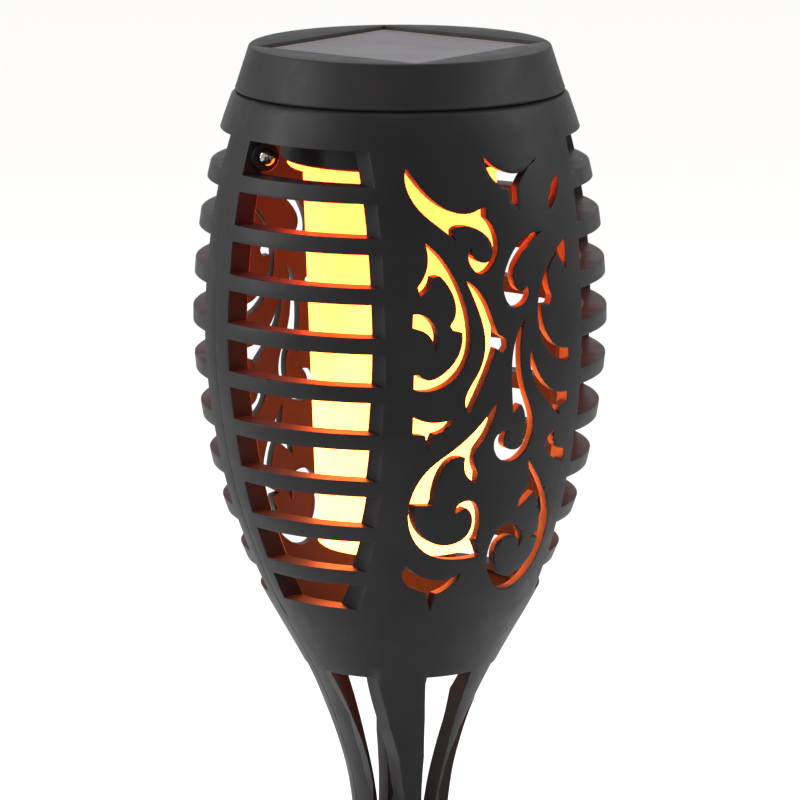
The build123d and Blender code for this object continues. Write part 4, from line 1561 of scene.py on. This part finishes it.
@dataclass
class PoleAndSpike:
    """The plug-together pole and the ground spike."""

    pole_r: float = 7.5
    bore_r: float = 6.5
    pole_edge: float = 0.25
    upper_z: tuple[float, float] = (100.0, 215.9)
    lower_z: tuple[float, float] = (4.0, 96.0)
    peg_r: float = 6.45
    peg_edge: float = 0.8
    peg_length: float = 18.0
    collar_r: float = 8.3
    rib_edge: float = 0.15
    rib_groove: float = 0.2
    rib_height: float = 1.4
    flange_r: float = 14.0
    flange_edge: float = 0.3
    flange_thick: float = 4.0
    spike_length: float = 115.0
    fin_half: float = 11.0
    fin_thick: float = 2.4
    fin_root: float = 0.5
    fin_straight: float = 20.0
    fin_edge: float = 0.35
    tip_half: float = 0.6
    tip_thin: float = 0.5

    def build(self, finishes: Finishes) -> None:
        """Make the two tubes, the coupler and the spike.

        Args:
            finishes: The finishes to dress the pieces in.
        """
        for name, node, ends, body in (("pole_tube_upper", "pole_upper", self.upper_z, Body.UPPER_POLE),
                                       ("pole_tube_lower", "pole_lower", self.lower_z, Body.LOWER_POLE)):
            deliver(self.make_tube(name, *ends), body, "pole_plastic", node, finish=finishes.pole)
        deliver(self.make_coupler(), Body.LOWER_POLE, "pole_plastic", "pole_coupler", finish=finishes.pole)
        deliver(self.make_spike(), Body.SPIKE, "pole_plastic", "ground_spike", finish=finishes.pole)

    def make_tube(self, name: str, low: float, high: float) -> bpy.types.Object:
        """Turn one pole tube with broken edges.

        Args:
            name: Name of the tube.
            low: Height of its lower end.
            high: Height of its upper end.

        Returns:
            The tube.
        """
        r, bore, edge = self.pole_r, self.bore_r, self.pole_edge
        rings = [(bore, low + edge), (bore + edge, low), (r - edge, low), (r, low + edge), (r, high - edge),
                 (r - edge, high), (bore + edge, high), (bore, high - edge)]
        tube = Bench.lathe(name, rings, 64, closed=True)
        Bench.smooth(tube, 50.0)
        return tube

    def make_coupler(self) -> bpy.types.Object:
        """Turn the coupler: a collar with a groove between two pegs.

        Returns:
            The coupler.
        """
        top, r = self.upper_z[0], self.collar_r
        middle = (top + self.lower_z[1]) / 2
        tip, edge, foot = top + self.peg_length, self.rib_edge, top - self.rib_height
        peg = [(0, tip), (self.peg_r - self.peg_edge, tip), (self.peg_r, tip - self.peg_edge),
               (self.peg_r, top)]
        rib = [(r - 4 * edge, top), (r - edge, top - edge), (r, top - 0.5), (r, foot),
               (r - self.rib_groove, foot - 2 * edge)]
        half = peg + rib
        rings = half + [(radius, 2 * middle - z) for radius, z in reversed(half)]
        coupler = Bench.lathe("coupler_plug", rings, 64)
        Bench.smooth(coupler, 35.0)
        return coupler

    def make_spike(self) -> bpy.types.Object:
        """Turn the flange and peg, then taper and cross the two fins.

        Returns:
            The spike.
        """
        seat, peg, edge, r = self.flange_thick, self.peg_r, self.flange_edge, self.flange_r
        tip = seat + self.peg_length
        rings = [(0, tip), (peg - self.peg_edge, tip), (peg, tip - self.peg_edge), (peg, seat + 0.5),
                 (peg + 0.5, seat), (r - 1.0, seat), (r - edge, seat - edge), (r, seat - 1.0), (r, edge),
                 (r - edge, 0.0), (0, 0.0)]
        parts = [Bench.lathe("spike_head", rings, 64)]
        for turn in (0, 90):
            fin = Bench.block("spike_fin",
                              (2 * self.fin_half, self.fin_thick, self.fin_straight + self.fin_root),
                              (0, 0, (self.fin_root - self.fin_straight) / 2))
            Bench.edit(fin)
            Bench.pick(fin, "FACE", faces_down)
            length = self.spike_length - self.fin_straight
            bpy.ops.mesh.extrude_region_move(TRANSFORM_OT_translate={"value": (0, 0, -length * MM)})
            bpy.ops.transform.resize(value=(self.tip_half / self.fin_half, self.tip_thin, 1))
            bpy.ops.object.mode_set(mode="OBJECT")
            Bench.soften(fin, self.fin_edge, 2, 25.0, clamp=False)
            Bench.place(fin, turn_deg=(0, 0, turn))
            parts.append(fin)
        spike = Bench.join(parts, "spike_moulded")
        Bench.smooth(spike, 32.0)
        return spike


# ---------------------------------------------------------------- the studio


@dataclass(frozen=True)
class Softbox:
    """One soft rectangular light: where it hangs round the torch, its size in metres and its watts."""

    name: str
    azimuth_deg: float
    elevation_deg: float
    distance_m: float
    size_m: tuple[float, float]
    watts: float


@dataclass
class Studio:
    """Pale floor, soft light and the camera."""

    head_top: float = 392.0
    aim_below_top: float = 75.0
    distance: float = 1238.0
    azimuth_deg: float = -28.0
    elevation_deg: float = 11.0
    lens: float = 270.0
    floor_z: float = -115.0
    sky: float = 0.9
    exposure: float = 0.2
    floor_size_m: float = 30.0
    sensor: float = 36.0
    clip_m: tuple[float, float] = (0.05, 60.0)
    softboxes: tuple[Softbox, ...] = (
        Softbox("softbox_left", -112.0, 22.0, 1.25, (0.5, 1.3), 22.0),
        Softbox("softbox_right", 62.0, 34.0, 1.25, (0.5, 1.0), 13.0),
        Softbox("softbox_top", 150.0, 68.0, 1.6, (1.2, 1.2), 6.0))

    def build(self) -> None:
        """Make the floor, the lights and the camera."""
        self.make_floor()
        self.make_world()
        for softbox in self.softboxes:
            self.add_softbox(softbox)
        self.make_camera()

    def direction(self, azimuth_deg: float, elevation_deg: float) -> Vector:
        """Direction from the torch towards an azimuth (0 is the front) and an elevation."""
        a, e = math.radians(azimuth_deg), math.radians(elevation_deg)
        return Vector((math.sin(a) * math.cos(e), -math.cos(a) * math.cos(e), math.sin(e)))

    def target(self) -> Vector:
        """The point on the axis that the camera looks at."""
        return Vector((0, 0, (self.head_top - self.aim_below_top) * MM))

    def make_floor(self) -> None:
        """Lay a plain pale floor under the spike's tip."""
        Bench.clear()
        bpy.ops.mesh.primitive_plane_add(size=self.floor_size_m, location=(0, 0, self.floor_z * MM))
        floor = bpy.context.object
        floor.name = "studio_floor"
        material, _, shader = blank_material("studio_paper")
        shader.inputs["Base Color"].default_value = linear("f6f5f3")
        shader.inputs["Roughness"].default_value = 0.9
        shader.inputs["Specular IOR Level"].default_value = 0.1
        floor.data.materials.append(material)

    def make_world(self) -> None:
        """Light everything softly from all round."""
        world = bpy.data.worlds.new("studio_light")
        world.use_nodes = True
        background = world.node_tree.nodes["Background"]
        background.inputs["Color"].default_value = (1.0, 1.0, 1.0, 1.0)
        background.inputs["Strength"].default_value = self.sky
        bpy.context.scene.world = world
        bpy.context.scene.view_settings.view_transform = "Standard"
        bpy.context.scene.view_settings.exposure = self.exposure

    def add_softbox(self, softbox: Softbox) -> None:
        """Hang one softbox so that it faces the torch's head.

        Args:
            softbox: Where it hangs, how large and how strong it is.
        """
        light = bpy.data.lights.new(softbox.name, "AREA")
        light.shape = "RECTANGLE"
        light.size, light.size_y = softbox.size_m
        light.energy = softbox.watts
        self.aim(bpy.data.objects.new(softbox.name, light), softbox.azimuth_deg, softbox.elevation_deg,
                 softbox.distance_m)

    def aim(self, obj: bpy.types.Object, azimuth_deg: float, elevation_deg: float, distance_m: float) -> None:
        """Put a light or the camera round the torch's head, looking at it.

        Args:
            obj: The light or camera.
            azimuth_deg: Where it stands, round the torch.
            elevation_deg: How high it stands.
            distance_m: Metres from the head.
        """
        bpy.context.scene.collection.objects.link(obj)
        obj.location = self.target() + self.direction(azimuth_deg, elevation_deg) * distance_m
        obj.rotation_euler = (self.target() - obj.location).to_track_quat("-Z", "Y").to_euler()

    def make_camera(self) -> None:
        """Set the camera a little above the head, level with its front left."""
        camera = bpy.data.cameras.new("camera")
        camera.lens = self.lens
        camera.sensor_width = self.sensor
        camera.clip_start, camera.clip_end = self.clip_m
        obj = bpy.data.objects.new("camera", camera)
        self.aim(obj, self.azimuth_deg, self.elevation_deg, self.distance * MM)
        bpy.context.scene.camera = obj


def main() -> None:
    """Build each sub-assembly in turn, then the studio."""
    logging.basicConfig(level=logging.INFO, format="%(name)s: %(message)s")
    finishes = Finishes()
    for assembly in (Bowl(), CapAndPanel(), LampHousing(), PowerPack(), LightEngine(), PoleAndSpike()):
        assembly.build(finishes)
    Studio().build()


if __name__ == "__main__":
    main()
